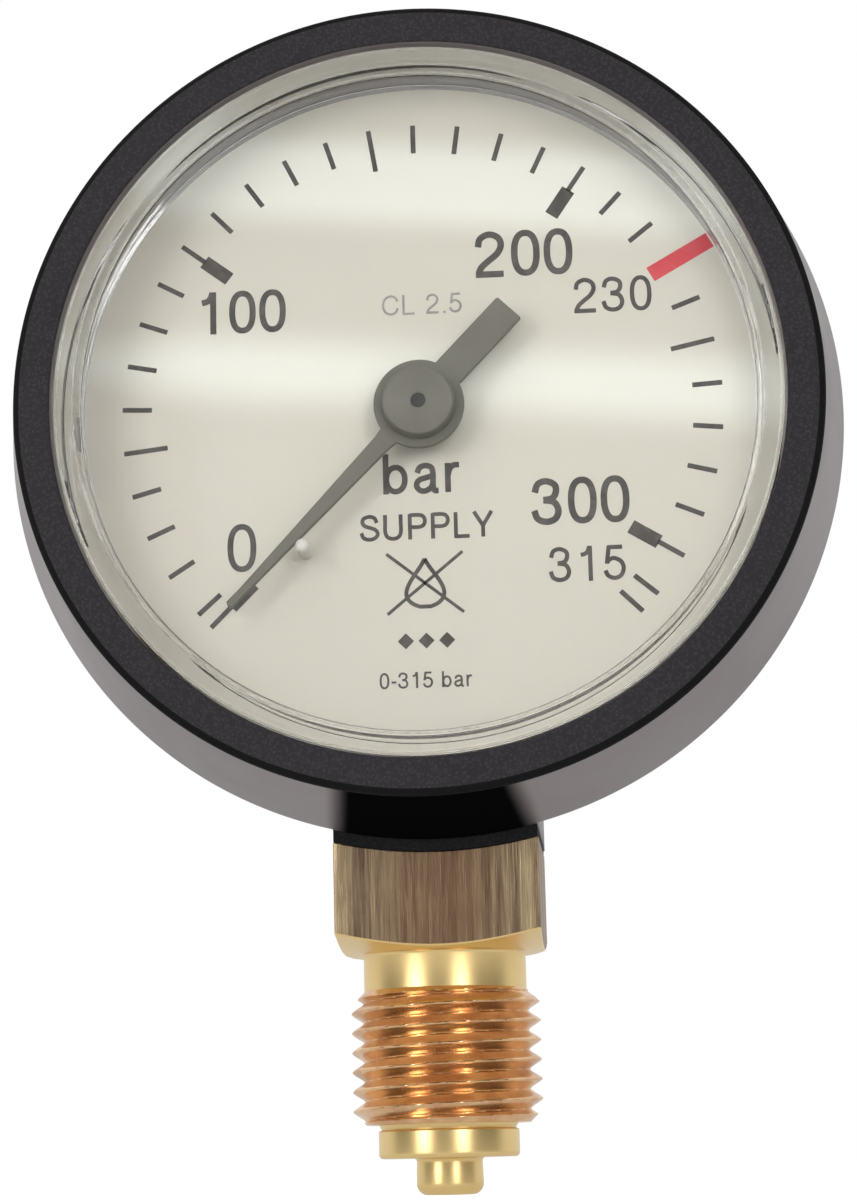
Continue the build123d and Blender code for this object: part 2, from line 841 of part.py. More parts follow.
def make_sector_gear() -> None:
    """The toothed sector with its hub, web and the tail that the link pulls."""
    tooth_angle = 360.0 / sector_full_teeth
    travel_teeth = round(sector_travel / tooth_angle)
    first = -travel_teeth - spare_teeth
    last = spare_teeth
    rim_start = 90.0 + (first - 0.5) * tooth_angle
    rim_end = 90.0 + (last + 0.5) * tooth_angle
    root_radius = sector_pitch_radius - tooth_root
    web_radius = root_radius - web_start
    web_inner_angle = web_angle - web_width_angle
    middle = (rim_start + rim_end) / 2
    tail_middle = polar(tail_length / 2, tail_rest_angle, sector_centre)
    with BuildPart() as sector_gear:
        with BuildSketch(facing(sector_back_y)):
            with BuildLine():
                outer = arc_points(root_radius, rim_start, rim_end, sector_centre)
                inner = arc_points(root_radius - sector_rim_width, rim_end, rim_start, sector_centre)
                ThreePointArc(*outer)
                Line(outer[-1], inner[0])
                ThreePointArc(*inner)
                Line(inner[-1], outer[0])
            make_face()
            for side in (-1, 1):
                with BuildLine():
                    Polyline(
                        polar(web_start, middle + 90 * side, sector_centre),
                        polar(web_radius, middle + web_angle * side, sector_centre),
                        polar(web_radius, middle + web_inner_angle * side, sector_centre),
                        polar(web_start, middle - 90 * side, sector_centre),
                        close=True,
                    )
                make_face()
            for index in range(first, last + 1):
                tooth_outline(
                    sector_centre,
                    sector_pitch_radius,
                    90.0 + index * tooth_angle,
                    tooth_share,
                    tooth_point,
                )
            with Locations(sector_centre):
                Circle(sector_arbor_radius + sector_hub_width)
            with Locations(tail_pin_place):
                Circle(eye_radius)
            with Locations(Location((tail_middle[0], tail_middle[1], 0), (0, 0, tail_rest_angle))):
                Rectangle(tail_length, tail_width)
            with Locations(sector_centre):
                Circle(sector_arbor_radius, mode=Mode.SUBTRACT)
            with Locations(tail_pin_place):
                Circle(tip_pin_radius, mode=Mode.SUBTRACT)
        extrude(amount=sector_thickness)
    save(sector_gear, "sector_gear")


def make_sector_arbor() -> None:
    """The sector's shaft, with a pivot at each end."""
    with BuildPart() as sector_arbor:
        with BuildSketch(facing(plate_back_y - plate_thickness - pivot_gap)):
            with Locations(sector_centre):
                Circle(sector_arbor_radius)
        extrude(amount=plate_space - 2 * pivot_gap)
        with BuildSketch(facing(plate_back_y)):
            with Locations(sector_centre):
                Circle(pivot_radius)
        extrude(amount=plate_back_y - front_plate_front_y)
    save(sector_arbor, "sector_arbor")


def make_pinion_arbor() -> None:
    """The pointer shaft with its eight-leaved pinion cut on it."""
    pinion_back_y = (sector_back_y + sector_front_y) / 2 + pinion_length / 2
    leaf_angle = 360.0 / pinion_teeth
    arbor_front_y = hub_front_y + arbor_front_recess
    with BuildPart() as pinion_arbor:
        with BuildSketch(facing(plate_back_y - plate_thickness - pivot_gap)):
            Circle(arbor_radius)
        extrude(amount=plate_back_y - plate_thickness - pivot_gap - arbor_front_y)
        with BuildSketch(facing(plate_back_y)):
            Circle(pivot_radius)
        extrude(amount=plate_thickness + 2 * pivot_gap)
        with BuildSketch(facing(pinion_back_y)):
            Circle(pinion_pitch_radius - tooth_root)
            for index in range(pinion_teeth):
                tooth_outline(
                    (0.0, 0.0),
                    pinion_pitch_radius,
                    -90.0 + (index + 0.5) * leaf_angle,
                    leaf_share,
                    leaf_point,
                )
        extrude(amount=pinion_length)
    save(pinion_arbor, "pinion_arbor")


def make_drive_link() -> None:
    """The link from the tube's end piece to the sector's tail, with an eye at each end."""
    lean = math.degrees(
        math.atan2(tip_pin_place[1] - tail_pin_place[1], tip_pin_place[0] - tail_pin_place[0])
    )
    middle = (
        (tip_pin_place[0] + tail_pin_place[0]) / 2,
        (tip_pin_place[1] + tail_pin_place[1]) / 2,
    )
    with BuildPart() as drive_link:
        with BuildSketch(facing(link_back_y)):
            with Locations(tail_pin_place, tip_pin_place):
                Circle(eye_radius)
            with Locations(Location((middle[0], middle[1], 0), (0, 0, lean))):
                Rectangle(link_length, link_width)
            with Locations(tail_pin_place):
                Circle(tip_pin_radius + link_pin_gap, mode=Mode.SUBTRACT)
            with Locations(tip_pin_place):
                Circle(tip_pin_radius + open_pivot_gap, mode=Mode.SUBTRACT)
        extrude(amount=link_thickness)
    save(drive_link, "drive_link")


def spiral_edge(offset: float) -> list:
    """Points of the hairspring's spiral, shifted outwards by an offset.

    The radius grows in step with the angle, from the collet to the stud.
    """
    steps = hairspring_turns * hairspring_steps
    growth = hairspring_outer - hairspring_inner
    start = stud_angle - 360.0 * hairspring_turns
    turn = 360.0 * hairspring_turns
    return [
        polar(hairspring_inner + growth * step / steps + offset, start + turn * step / steps)
        for step in range(steps + 1)
    ]


def make_hairspring() -> None:
    """The hairspring: a flat strip wound as an even spiral, which takes up the backlash."""
    with BuildPart() as hairspring:
        with BuildSketch(facing(hairspring_back_y)):
            with BuildLine():
                inner = Spline(*spiral_edge(-hairspring_strip / 2))
                outer = Spline(*spiral_edge(hairspring_strip / 2))
                Line(inner @ 0, outer @ 0)
                Line(inner @ 1, outer @ 1)
            make_face()
        extrude(amount=hairspring_width)
    save(hairspring, "hairspring")
    collet_back_y = hairspring_back_y - hairspring_width / 2 + collet_length / 2
    with BuildPart() as hairspring_collet:
        with BuildSketch(facing(collet_back_y)):
            Circle(hairspring_inner - hairspring_strip / 2)
            Circle(arbor_radius, mode=Mode.SUBTRACT)
        extrude(amount=collet_length)
    save(hairspring_collet, "hairspring_collet")
    stud_inner = hairspring_outer + hairspring_strip / 2
    stud_middle = polar(stud_inner + stud_width / 2, stud_angle)
    with BuildPart() as hairspring_stud:
        with BuildSketch(facing(hairspring_back_y)):
            with Locations(Location((stud_middle[0], stud_middle[1], 0), (0, 0, stud_angle))):
                Rectangle(stud_width, stud_width)
        extrude(amount=hairspring_back_y - front_plate_back_y)
    save(hairspring_stud, "hairspring_stud")


# =========================================================================================
# Pointer
# =========================================================================================
def make_pointer_blade() -> None:
    """The stamped blade: tapering needle, round middle and square-ended counterweight."""
    turn = pointer_zero_angle

    def at(radius: float, side: float) -> tuple:
        """A point at a distance along the blade and a distance to its left."""
        along = polar(radius, turn)
        across = polar(side, turn + 90)
        return (along[0] + across[0], along[1] + across[1])

    tip = pointer_tip_half
    with BuildPart() as pointer_blade:
        with BuildSketch(facing(pointer_back_y)):
            Circle(pointer_disc_radius)
            closed_line(
                [
                    at(0, pointer_root_half),
                    at(hub_radius, pointer_root_half),
                    at(pointer_reach, tip),
                    at(pointer_reach + tip, 0),
                    at(pointer_reach, -tip),
                    at(hub_radius, -pointer_root_half),
                    at(0, -pointer_root_half),
                ]
            )
            closed_line(
                [
                    at(0, pointer_tail_half),
                    at(-pointer_tail_reach, pointer_tail_half),
                    at(-pointer_tail_reach, -pointer_tail_half),
                    at(0, -pointer_tail_half),
                ]
            )
            Circle(hub_bush_radius, mode=Mode.SUBTRACT)
        extrude(amount=pointer_thickness)
    save(pointer_blade, "pointer_blade")


def make_pointer_hub() -> None:
    """The hub that grips the pointer shaft: round cap in front, bush through the blade."""
    with BuildPart() as pointer_hub:
        with BuildSketch(facing(pointer_front_y)):
            Circle(hub_radius)
        extrude(amount=hub_height)
        fillet(pointer_hub.faces().sort_by(Axis.Y)[0].edges(), radius=hub_height / 4)
        with BuildSketch(facing(pointer_back_y + hub_bush_length)):
            Circle(hub_bush_radius)
        extrude(amount=hub_bush_length + pointer_thickness)
        with BuildSketch(facing(pointer_back_y + hub_bush_length)):
            Circle(arbor_radius)
        extrude(amount=2 * hub_height + pointer_thickness, mode=Mode.SUBTRACT)
    save(pointer_hub, "pointer_hub")


make_case_shell()
make_back_cover()
make_blowout_plug()
make_cover_screws()
make_window()
make_dial()
make_stop_pin()
make_stem_gasket()
make_socket()
make_restrictor_screw()
make_bourdon_tube()
make_tube_end_piece()
make_link_pin("tip_pin", tip_pin_place, sector_back_y + link_lift)
make_link_pin("tail_pin", tail_pin_place, sector_back_y)
make_plates()
make_pillars()
make_small_screws(
    "plate_screws",
    pillar_places,
    front_plate_front_y,
    (pillar_screw_radius, pillar_screw_head, pillar_screw_length),
)
make_small_screws(
    "movement_screws",
    movement_screws,
    plate_back_y - plate_thickness,
    (movement_screw_radius, movement_screw_head, movement_screw_length),
)
make_sector_gear()
make_sector_arbor()
make_pinion_arbor()
make_drive_link()
make_hairspring()
make_pointer_blade()
make_pointer_hub()
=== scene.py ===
"""Cylinder contents gauge, 0 to 315 bar: the looks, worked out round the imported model.

Every length is in metres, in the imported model's own frame: the origin is on the stem axis at the
shoulder under the wrench block, +Z points up to the case and the dial faces -Y.
"""

import logging
import math
from dataclasses import dataclass, field
from enum import Enum
from typing import Callable

import bpy
import numpy as np
from mathutils import Matrix, Vector


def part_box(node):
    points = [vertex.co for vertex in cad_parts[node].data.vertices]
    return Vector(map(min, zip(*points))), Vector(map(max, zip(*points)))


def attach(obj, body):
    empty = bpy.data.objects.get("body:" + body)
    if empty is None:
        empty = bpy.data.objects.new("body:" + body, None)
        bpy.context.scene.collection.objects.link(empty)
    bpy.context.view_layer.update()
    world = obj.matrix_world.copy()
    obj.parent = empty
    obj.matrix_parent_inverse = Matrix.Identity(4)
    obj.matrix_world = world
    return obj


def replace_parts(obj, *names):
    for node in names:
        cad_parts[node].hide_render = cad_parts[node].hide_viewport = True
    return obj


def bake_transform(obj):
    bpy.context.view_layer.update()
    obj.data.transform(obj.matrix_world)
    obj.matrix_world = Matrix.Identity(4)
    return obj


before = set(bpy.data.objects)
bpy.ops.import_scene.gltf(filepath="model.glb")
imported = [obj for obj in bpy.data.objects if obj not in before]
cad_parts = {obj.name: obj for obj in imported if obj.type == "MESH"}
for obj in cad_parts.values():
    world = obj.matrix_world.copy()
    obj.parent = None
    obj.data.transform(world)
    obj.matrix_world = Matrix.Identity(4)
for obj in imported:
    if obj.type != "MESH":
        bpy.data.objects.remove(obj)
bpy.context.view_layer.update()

log = logging.getLogger("gauge")
Array = np.ndarray
Point = tuple[float, float, float]
Colour = tuple[float, float, float]
TURN = 2.0 * math.pi


# =========================================================================================
# Surfaces
# =========================================================================================
class TurnAxis(Enum):
    """The two axes that the gauge's round parts are turned about."""

    CASE = "along Y at the case's height"
    STEM = "along Z at the origin"


@dataclass(frozen=True)
class Places:
    """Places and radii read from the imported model."""

    axis_z: float
    case_radius: float
    rim_front: float
    case_back: float
    window_radius: float
    window_front: float
    dial_front: float
    dial_radius: float
    block_half: float
    stem_bottom: float
    blade_front: float
    blade_back: float
    hub_radius: float
    hub_front: float
    hub_back: float
    coil_back: float
    coil_front: float
    coil_outer: float

    @classmethod
    def read(cls) -> "Places":
        """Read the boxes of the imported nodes.

        Returns:
            The places, in metres.
        """
        low = {name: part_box(name)[0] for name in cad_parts}
        high = {name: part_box(name)[1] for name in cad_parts}
        return cls(
            axis_z=(low["case_shell"][2] + high["case_shell"][2]) / 2,
            case_radius=(high["case_shell"][2] - low["case_shell"][2]) / 2,
            rim_front=low["case_shell"][1],
            case_back=high["case_shell"][1],
            window_radius=(high["window"][0] - low["window"][0]) / 2,
            window_front=low["window"][1],
            dial_front=low["dial"][1],
            dial_radius=(high["dial"][0] - low["dial"][0]) / 2,
            block_half=high["socket"][0],
            stem_bottom=low["socket"][2],
            blade_front=low["pointer_blade"][1],
            blade_back=high["pointer_blade"][1],
            hub_radius=(high["pointer_hub"][0] - low["pointer_hub"][0]) / 2,
            hub_front=low["pointer_hub"][1],
            hub_back=high["pointer_hub"][1],
            coil_back=high["bourdon_tube"][1],
            coil_front=low["bourdon_tube"][1],
            coil_outer=(high["bourdon_tube"][0] - low["bourdon_tube"][0]) / 2,
        )


def rounded(corners: list[tuple[float, float]], radii: list[float], closed: bool = True,
            steps: int = 5, hold: float = 0.00012) -> Array:
    """Replace each corner of an outline by a tangent arc.

    The arc's centre lies on the corner's bisector at radius / sin(half the corner's angle), and
    it starts and ends at radius / tan(half the angle) from the corner.

    Args:
        corners: The outline's corners, in order.
        radii: One radius for each corner; a corner with radius 0 stays sharp.
        closed: Whether the outline joins up; an open one keeps its two ends.
        steps: The number of chords in each arc.
        hold: How far beyond each arc a further point keeps the flat's shading flat.

    Returns:
        The outline's points, one row each.
    """
    points = np.array(corners, float)
    count = len(points)
    found: list[Array] = []
    for index, radius in enumerate(radii):
        corner = points[index]
        if radius <= 0 or (not closed and index in (0, count - 1)):
            found.append(corner[None])
            continue
        back = points[index - 1] - corner
        ahead = points[(index + 1) % count] - corner
        back_length, ahead_length = np.linalg.norm(back), np.linalg.norm(ahead)
        back, ahead = back / back_length, ahead / ahead_length
        half = math.acos(float(np.clip(back @ ahead, -1, 1))) / 2
        reach = min(radius / math.tan(half), 0.49 * min(back_length, ahead_length))
        size = reach * math.tan(half)
        bisector = back + ahead
        centre = corner + bisector / np.linalg.norm(bisector) * size / math.sin(half)
        first = corner + back * reach - centre
        last = corner + ahead * reach - centre
        share = np.linspace(0, 1, steps + 1)[:, None]
        spread = math.pi - 2 * half
        arc = (np.sin((1 - share) * spread) * first + np.sin(share * spread) * last)
        room = 0.49 * min(back_length, ahead_length) - reach
        if room > hold:
            found.append((corner + back * (reach + hold))[None])
        found.append(centre + arc / math.sin(spread))
        if room > hold:
            found.append((corner + ahead * (reach + hold))[None])
    return np.concatenate(found)


def smooth_path(points: list[tuple[float, float]], steps: int = 6) -> Array:
    """A Catmull-Rom curve through the points: each span is the cubic whose end slopes are half
    the chord between the neighbours.

    Args:
        points: The points that the curve passes through.
        steps: The number of chords in each span.

    Returns:
        The curve's points, one row each.
    """
    known = np.array(points, float)
    padded = np.concatenate([2 * known[:1] - known[1:2], known, 2 * known[-1:] - known[-2:-1]])
    before, start, end, after = padded[:-3], padded[1:-2], padded[2:-1], padded[3:]
    share = np.arange(steps)[:, None, None] / steps
    curve = 0.5 * (
        2 * start
        + (end - before) * share
        + (2 * before - 5 * start + 4 * end - after) * share**2
        + (3 * start - before - 3 * end + after) * share**3
    )
    return np.concatenate([curve.transpose(1, 0, 2).reshape(-1, 2), known[-1:]])


class Patch:
    """One piece's surface, gathered from grids of quads and flat caps."""

    def __init__(self) -> None:
        """Start with no points."""
        self.points: list[Array] = []
        self.quads: list[Array] = []
        self.quad_finish: list[Array] = []
        self.caps: list[tuple[list[int], int]] = []
        self.count = 0

    def grid(self, points: Array, wrap_rows: bool = False, wrap_columns: bool = False,
             close_ends: bool = False, finish: int | Array = 0, keep: Array | None = None) -> Array:
        """Add a grid of points and the quads between them.

        Args:
            points: The points, as rows, columns and 3 coordinates.
            wrap_rows: Whether the last row joins the first.
            wrap_columns: Whether the last column joins the first.
            close_ends: Whether the first and last row are closed by flat caps.
            finish: The material's number, or one number for each row.
            keep: Which quads are wanted, as a mask over rows and columns.

        Returns:
            The numbers of the points, as rows and columns.
        """
        rows, columns = points.shape[:2]
        index = np.arange(rows * columns).reshape(rows, columns) + self.count
        self.points.append(points.reshape(-1, 3))
        self.count += rows * columns
        down = np.roll(index, -1, axis=0)
        quads = np.stack([index, np.roll(index, -1, axis=1), np.roll(down, -1, axis=1), down], axis=-1)
        kinds = np.broadcast_to(np.reshape(finish, (-1, 1)), (rows, columns))
        wanted = np.ones((rows, columns), bool) if keep is None else keep.copy()
        if not wrap_rows:
            wanted[-1] = False
        if not wrap_columns:
            wanted[:, -1] = False
        self.quads.append(quads[wanted])
        self.quad_finish.append(kinds[wanted])
        if close_ends:
            self.caps.append((index[0][::-1].tolist(), int(kinds[0, 0])))
            self.caps.append((index[-1].tolist(), int(kinds[-1, 0])))
        return index

    def face(self, ring: list[int], finish: int = 0) -> None:
        """Add one flat face through points that are there already.

        Args:
            ring: The numbers of the face's points, in order.
            finish: The material's number.
        """
        self.caps.append((ring, finish))

    def piece(self, name: str, materials: list[bpy.types.Material], body: str | None,
              slot: str | None = None, sharp: float = 32.0) -> bpy.types.Object:
        """Make the mesh, turn its faces outwards and let it ride on its body.

        The faces point outwards when the sum of the signed tetrahedra from the origin is positive.

        Args:
            name: The piece's name.
            materials: The materials, in the order of the finish numbers.
            body: The body that the piece rides on, or None if it bends between two.
            slot: The record's material slot; not used.
            sharp: Edges that turn by more than this many degrees stay crisp.

        Returns:
            The object.
        """
        points = np.concatenate(self.points)
        quads = np.concatenate(self.quads) if self.quads else np.zeros((0, 4), int)
        corner = points[quads]
        volume = np.einsum("ij,ij->", corner[:, 0], np.cross(corner[:, 1], corner[:, 2]))
        volume += np.einsum("ij,ij->", corner[:, 0], np.cross(corner[:, 2], corner[:, 3]))
        for ring, _ in self.caps:
            rim = points[ring]
            fan = np.cross(rim[1:-1], rim[2:])
            volume += float(np.sum(fan @ rim[0]))
        turn = -1 if volume < 0 else 1
        faces = quads[:, ::turn].tolist() + [ring[::turn] for ring, _ in self.caps]
        kinds = np.concatenate([*self.quad_finish, [kind for _, kind in self.caps]])
        mesh = bpy.data.meshes.new(name)
        mesh.from_pydata(points.tolist(), [], faces)
        mesh.polygons.foreach_set("material_index", kinds.astype(np.int32))
        mesh.polygons.foreach_set("use_smooth", np.ones(len(faces), bool))
        mesh.set_sharp_from_angle(angle=math.radians(sharp))
        for material in materials:
            mesh.materials.append(material)
        mesh.update()
        item = bpy.data.objects.new(name, mesh)
        bpy.context.scene.collection.objects.link(item)
        if body is not None:
            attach(item, body)
        log.info("%s: %d faces", name, len(faces))
        return item


def turned(places: Places, axis: TurnAxis, radius: Array, along: Array, angle: Array) -> Array:
    """Points at a radius and an angle round an axis, at a distance along it.

    Round the case axis a point is (radius cos, along, height + radius sin); round the stem axis
    it is (radius cos, radius sin, along).

    Args:
        places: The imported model's places.
        axis: Which axis the points turn about.
        radius: The distances from the axis.
        along: The distances along the axis.
        angle: The angles in radians.

    Returns:
        The points, with their three coordinates last.
    """
    radius, along, angle = np.broadcast_arrays(radius, along, angle)
    across, up = radius * np.cos(angle), radius * np.sin(angle)
    if axis is TurnAxis.CASE:
        return np.stack([across, along, places.axis_z + up], axis=-1)
    return np.stack([across, up, along], axis=-1)


def lathe(patch: Patch, places: Places, axis: TurnAxis, profile: Array, segments: int,
          closed: bool, finish: int | Array = 0) -> Array:
    """Turn a profile round an axis.

    Args:
        patch: The surface that the turned grid joins.
        places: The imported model's places.
        axis: Which axis it turns about.
        profile: The profile's points, as radius and distance along the axis.
        segments: The number of steps round the axis.
        closed: Whether the profile is a loop; an open one is closed by flat caps.
        finish: The material's number, or one for each point of the profile.

    Returns:
        The numbers of the points.
    """
    angle = np.arange(segments) * TURN / segments
    points = turned(places, axis, profile[:, :1], profile[:, 1:], angle[None])
    return patch.grid(points, closed, True, not closed, finish)


def slab(patch: Patch, places: Places, outline: Array, back: float, front: float,
         finish: int = 0) -> None:
    """A flat plate between two depths, from an outline in the dial's plane.

    Args:
        patch: The surface that the plate joins.
        places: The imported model's places.
        outline: The outline's points, across and up from the case axis.
        back: The depth of the back face.
        front: The depth of the front face.
        finish: The material's number.
    """
    depth = np.array([back, front])[:, None]
    across = np.broadcast_to(outline[:, 0], (2, len(outline)))
    up = np.broadcast_to(outline[:, 1] + places.axis_z, (2, len(outline)))
    points = np.stack([across, np.broadcast_to(depth, across.shape), up], axis=-1)
    patch.grid(points, False, True, True, finish)


def ribbon(patch: Patch, places: Places, path: Array, width: float, back: float, front: float,
           closed: bool = False) -> None:
    """A printed stroke: a flat bar of constant width carried along a path.

    Each row has four corners, half the width to each side of the path along its normal, at the
    back and at the front depth.

    Args:
        patch: The surface that the stroke joins.
        places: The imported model's places.
        path: The path's points, across and up from the case axis.
        width: The stroke's width.
        back: The depth of its back.
        front: The depth of its front.
        closed: Whether the path is a loop.
    """
    if closed:
        slope = np.roll(path, -1, axis=0) - np.roll(path, 1, axis=0)
    else:
        slope = np.gradient(path, axis=0)
    slope /= np.linalg.norm(slope, axis=1)[:, None]
    side = np.stack([-slope[:, 1], slope[:, 0]], axis=-1) * width / 2
    left, right = path + side, path - side
    corners = []
    for line, depth in ((left, back), (right, back), (right, front), (left, front)):
        height = np.full(len(path), depth)
        corners.append(np.stack([line[:, 0], height, line[:, 1] + places.axis_z], axis=-1))
    patch.grid(np.stack(corners, axis=1), closed, True, not closed)


# =========================================================================================
# Shader graphs
# =========================================================================================
class Graph:
    """A node tree with short calls for adding and joining nodes."""

    def __init__(self, tree: bpy.types.NodeTree) -> None:
        """Work on a tree.

        Args:
            tree: The node tree.
        """
        self.tree = tree

    def node(self, kind: str, inputs: dict[str | int, object] | None = None,
             **settings: object) -> bpy.types.Node:
        """Add a node.

        Args:
            kind: The node's type name.
            inputs: Values or output sockets for its inputs, by name or number.
            **settings: The node's own settings.

        Returns:
            The node.
        """
        item = self.tree.nodes.new(kind)
        for name, value in settings.items():
            setattr(item, name, value)
        for name, value in (inputs or {}).items():
            if isinstance(value, bpy.types.NodeSocket):
                self.tree.links.new(value, item.inputs[name])
            else:
                item.inputs[name].default_value = value
        return item

    def math(self, operation: str, first: object, second: object = 0.0,
             third: object = 0.0) -> bpy.types.NodeSocket:
        """A Math node's result.

        Args:
            operation: The Math node's operation.
            first: The first number or colour, or a socket that gives it.
            second: The second number or colour, or a socket that gives it.
            third: The third number, or a socket that gives it.

        Returns:
            The result's socket.
        """
        inputs = {0: first, 1: second, 2: third}
        return self.node("ShaderNodeMath", inputs, operation=operation).outputs[0]

    def scaled(self, vector: bpy.types.NodeSocket, scale: Point) -> bpy.types.NodeSocket:
        """A vector stretched by a scale for each axis.

        Args:
            vector: The vector's socket.
            scale: The scale along each axis.

        Returns:
            The stretched vector's socket.
        """
        return self.node("ShaderNodeMapping", {"Vector": vector, "Scale": scale}).outputs[0]

    def spread(self, value: object, low: float, high: float, to_low: float,
               to_high: float) -> bpy.types.NodeSocket:
        """A value carried from one range to another, smoothly and kept inside it.

        Args:
            value: The number, or a socket that gives it.
            low: The lower end of the first range.
            high: The upper end of the first range.
            to_low: What the lower end becomes.
            to_high: What the upper end becomes.

        Returns:
            The result's socket.
        """
        inputs = {0: value, 1: low, 2: high, 3: to_low, 4: to_high}
        return self.node("ShaderNodeMapRange", inputs, interpolation_type="SMOOTHSTEP").outputs[0]

    def mix(self, share: object, first: object, second: object) -> bpy.types.NodeSocket:
        """Two colours mixed by a share.

        Args:
            share: How much of the second there is, or a socket that gives it.
            first: The first number or colour, or a socket that gives it.
            second: The second number or colour, or a socket that gives it.

        Returns:
            The mixed colour's socket.
        """
        item = self.node("ShaderNodeMix", {}, data_type="RGBA")
        for number, value in ((0, share), (6, first), (7, second)):
            if isinstance(value, bpy.types.NodeSocket):
                self.tree.links.new(value, item.inputs[number])
            else:
                item.inputs[number].default_value = (*value, 1.0) if number else value
        return item.outputs[2]


def group(name: str, inputs: dict[str, tuple[str, float]], outputs: list[str],
          fill: Callable[[Graph, bpy.types.Node], dict[str, bpy.types.NodeSocket]],
          ) -> bpy.types.NodeTree:
    """Build a shader node group once.

    Args:
        name: The group's name.
        inputs: Each input's socket type and first value.
        outputs: The names of the outputs, which are all plain numbers.
        fill: Adds the group's nodes and returns what feeds each output.

    Returns:
        The group.
    """
    found = bpy.data.node_groups.get(name)
    if found is not None:
        return found
    tree = bpy.data.node_groups.new(name, "ShaderNodeTree")
    for label, (kind, value) in inputs.items():
        socket = tree.interface.new_socket(name=label, in_out="INPUT", socket_type=kind)
        if kind == "NodeSocketFloat":
            socket.default_value = value
    for label in outputs:
        tree.interface.new_socket(name=label, in_out="OUTPUT", socket_type="NodeSocketFloat")
    graph = Graph(tree)
    entry = graph.node("NodeGroupInput")
    graph.node("NodeGroupOutput", dict(fill(graph, entry)))
    return tree


def grain_group() -> bpy.types.NodeTree:
    """Moulded grain: small rounded cells with a finer noise over them.

    Returns:
        The group.
    """

    def fill(graph: Graph, entry: bpy.types.Node) -> dict[str, bpy.types.NodeSocket]:
        """Mix the distance to the nearest cell centre with a noise twice as fine.

        Args:
            graph: The graph that the nodes are added to.
            entry: The group's input node.

        Returns:
            What feeds each of the group's outputs.
        """
        vector, scale = entry.outputs["Vector"], entry.outputs["Scale"]
        cells = graph.node("ShaderNodeTexVoronoi", {"Vector": vector, "Scale": scale})
        fine = graph.math("MULTIPLY", scale, 1.9)
        noise = graph.node("ShaderNodeTexNoise", {"Vector": vector, "Scale": fine, "Detail": 3.0})
        rough = graph.math("MULTIPLY", noise.outputs["Fac"], entry.outputs["Fine"])
        return {"Height": graph.math("SUBTRACT", rough, cells.outputs["Distance"])}

    inputs = {
        "Vector": ("NodeSocketVector", 0.0),
        "Scale": ("NodeSocketFloat", 3000.0),
        "Fine": ("NodeSocketFloat", 0.8),
    }
    return group("moulded_grain", inputs, ["Height"], fill)


def streak_group() -> bpy.types.NodeTree:
    """Brushed streaks: two noises drawn out along the brush, one broad and one fine.

    Returns:
        The group.
    """

    def fill(graph: Graph, entry: bpy.types.Node) -> dict[str, bpy.types.NodeSocket]:
        """The broad noise gives the tone and the fine one the scratches.

        Args:
            graph: The graph that the nodes are added to.
            entry: The group's input node.

        Returns:
            What feeds each of the group's outputs.
        """
        vector, scale = entry.outputs["Vector"], entry.outputs["Scale"]
        fine_scale = graph.math("MULTIPLY", scale, 4.3)
        broad = graph.node(
            "ShaderNodeTexNoise", {"Vector": vector, "Scale": scale, "Detail": 4.0, "Roughness": 0.7}
        )
        fine = graph.node(
            "ShaderNodeTexNoise", {"Vector": vector, "Scale": fine_scale, "Detail": 2.0}
        )
        tone = graph.spread(broad.outputs["Fac"], 0.34, 0.66, 0.0, 1.0)
        scratch = graph.spread(fine.outputs["Fac"], 0.3, 0.7, 0.0, 1.0)
        return {"Tone": tone, "Scratch": scratch}

    inputs = {"Vector": ("NodeSocketVector", 0.0), "Scale": ("NodeSocketFloat", 1000.0)}
    return group("brushed_streaks", inputs, ["Tone", "Scratch"], fill)


def handling_group() -> bpy.types.NodeTree:
    """Handling marks: soft patches where fingers and dust have dulled a surface.

    Returns:
        The group.
    """

    def fill(graph: Graph, entry: bpy.types.Node) -> dict[str, bpy.types.NodeSocket]:
        """A warped noise for the patches and a sparse fine noise for the specks.

        Args:
            graph: The graph that the nodes are added to.
            entry: The group's input node.

        Returns:
            What feeds each of the group's outputs.
        """
        vector, scale = entry.outputs["Vector"], entry.outputs["Scale"]
        speck_scale = graph.math("MULTIPLY", scale, 14.0)
        soft = graph.node(
            "ShaderNodeTexNoise",
            {"Vector": vector, "Scale": scale, "Detail": 5.0, "Distortion": 0.6},
        )
        specks = graph.node(
            "ShaderNodeTexNoise", {"Vector": vector, "Scale": speck_scale, "Detail": 1.0}
        )
        return {
            "Patch": graph.spread(soft.outputs["Fac"], 0.35, 0.7, 0.0, 1.0),
            "Speck": graph.spread(specks.outputs["Fac"], 0.68, 0.8, 0.0, 1.0),
        }

    inputs = {"Vector": ("NodeSocketVector", 0.0), "Scale": ("NodeSocketFloat", 60.0)}
    return group("handling_marks", inputs, ["Patch", "Speck"], fill)


def tool_mark_group() -> bpy.types.NodeTree:
    """Turning marks: fine rings left by the tool, each a little uneven.

    Returns:
        The group.
    """

    def fill(graph: Graph, entry: bpy.types.Node) -> dict[str, bpy.types.NodeSocket]:
        """A noise read along one coordinate only, so that it is the same all the way round.

        Args:
            graph: The graph that the nodes are added to.
            entry: The group's input node.

        Returns:
            What feeds each of the group's outputs.
        """
        place = graph.node("ShaderNodeCombineXYZ", {0: entry.outputs["Along"]})
        noise = graph.node(
            "ShaderNodeTexNoise",
            {"Vector": place.outputs[0], "Scale": entry.outputs["Scale"], "Detail": 3.0},
        )
        return {"Height": noise.outputs["Fac"]}

    inputs = {"Along": ("NodeSocketFloat", 0.0), "Scale": ("NodeSocketFloat", 6000.0)}
    return group("turning_marks", inputs, ["Height"], fill)


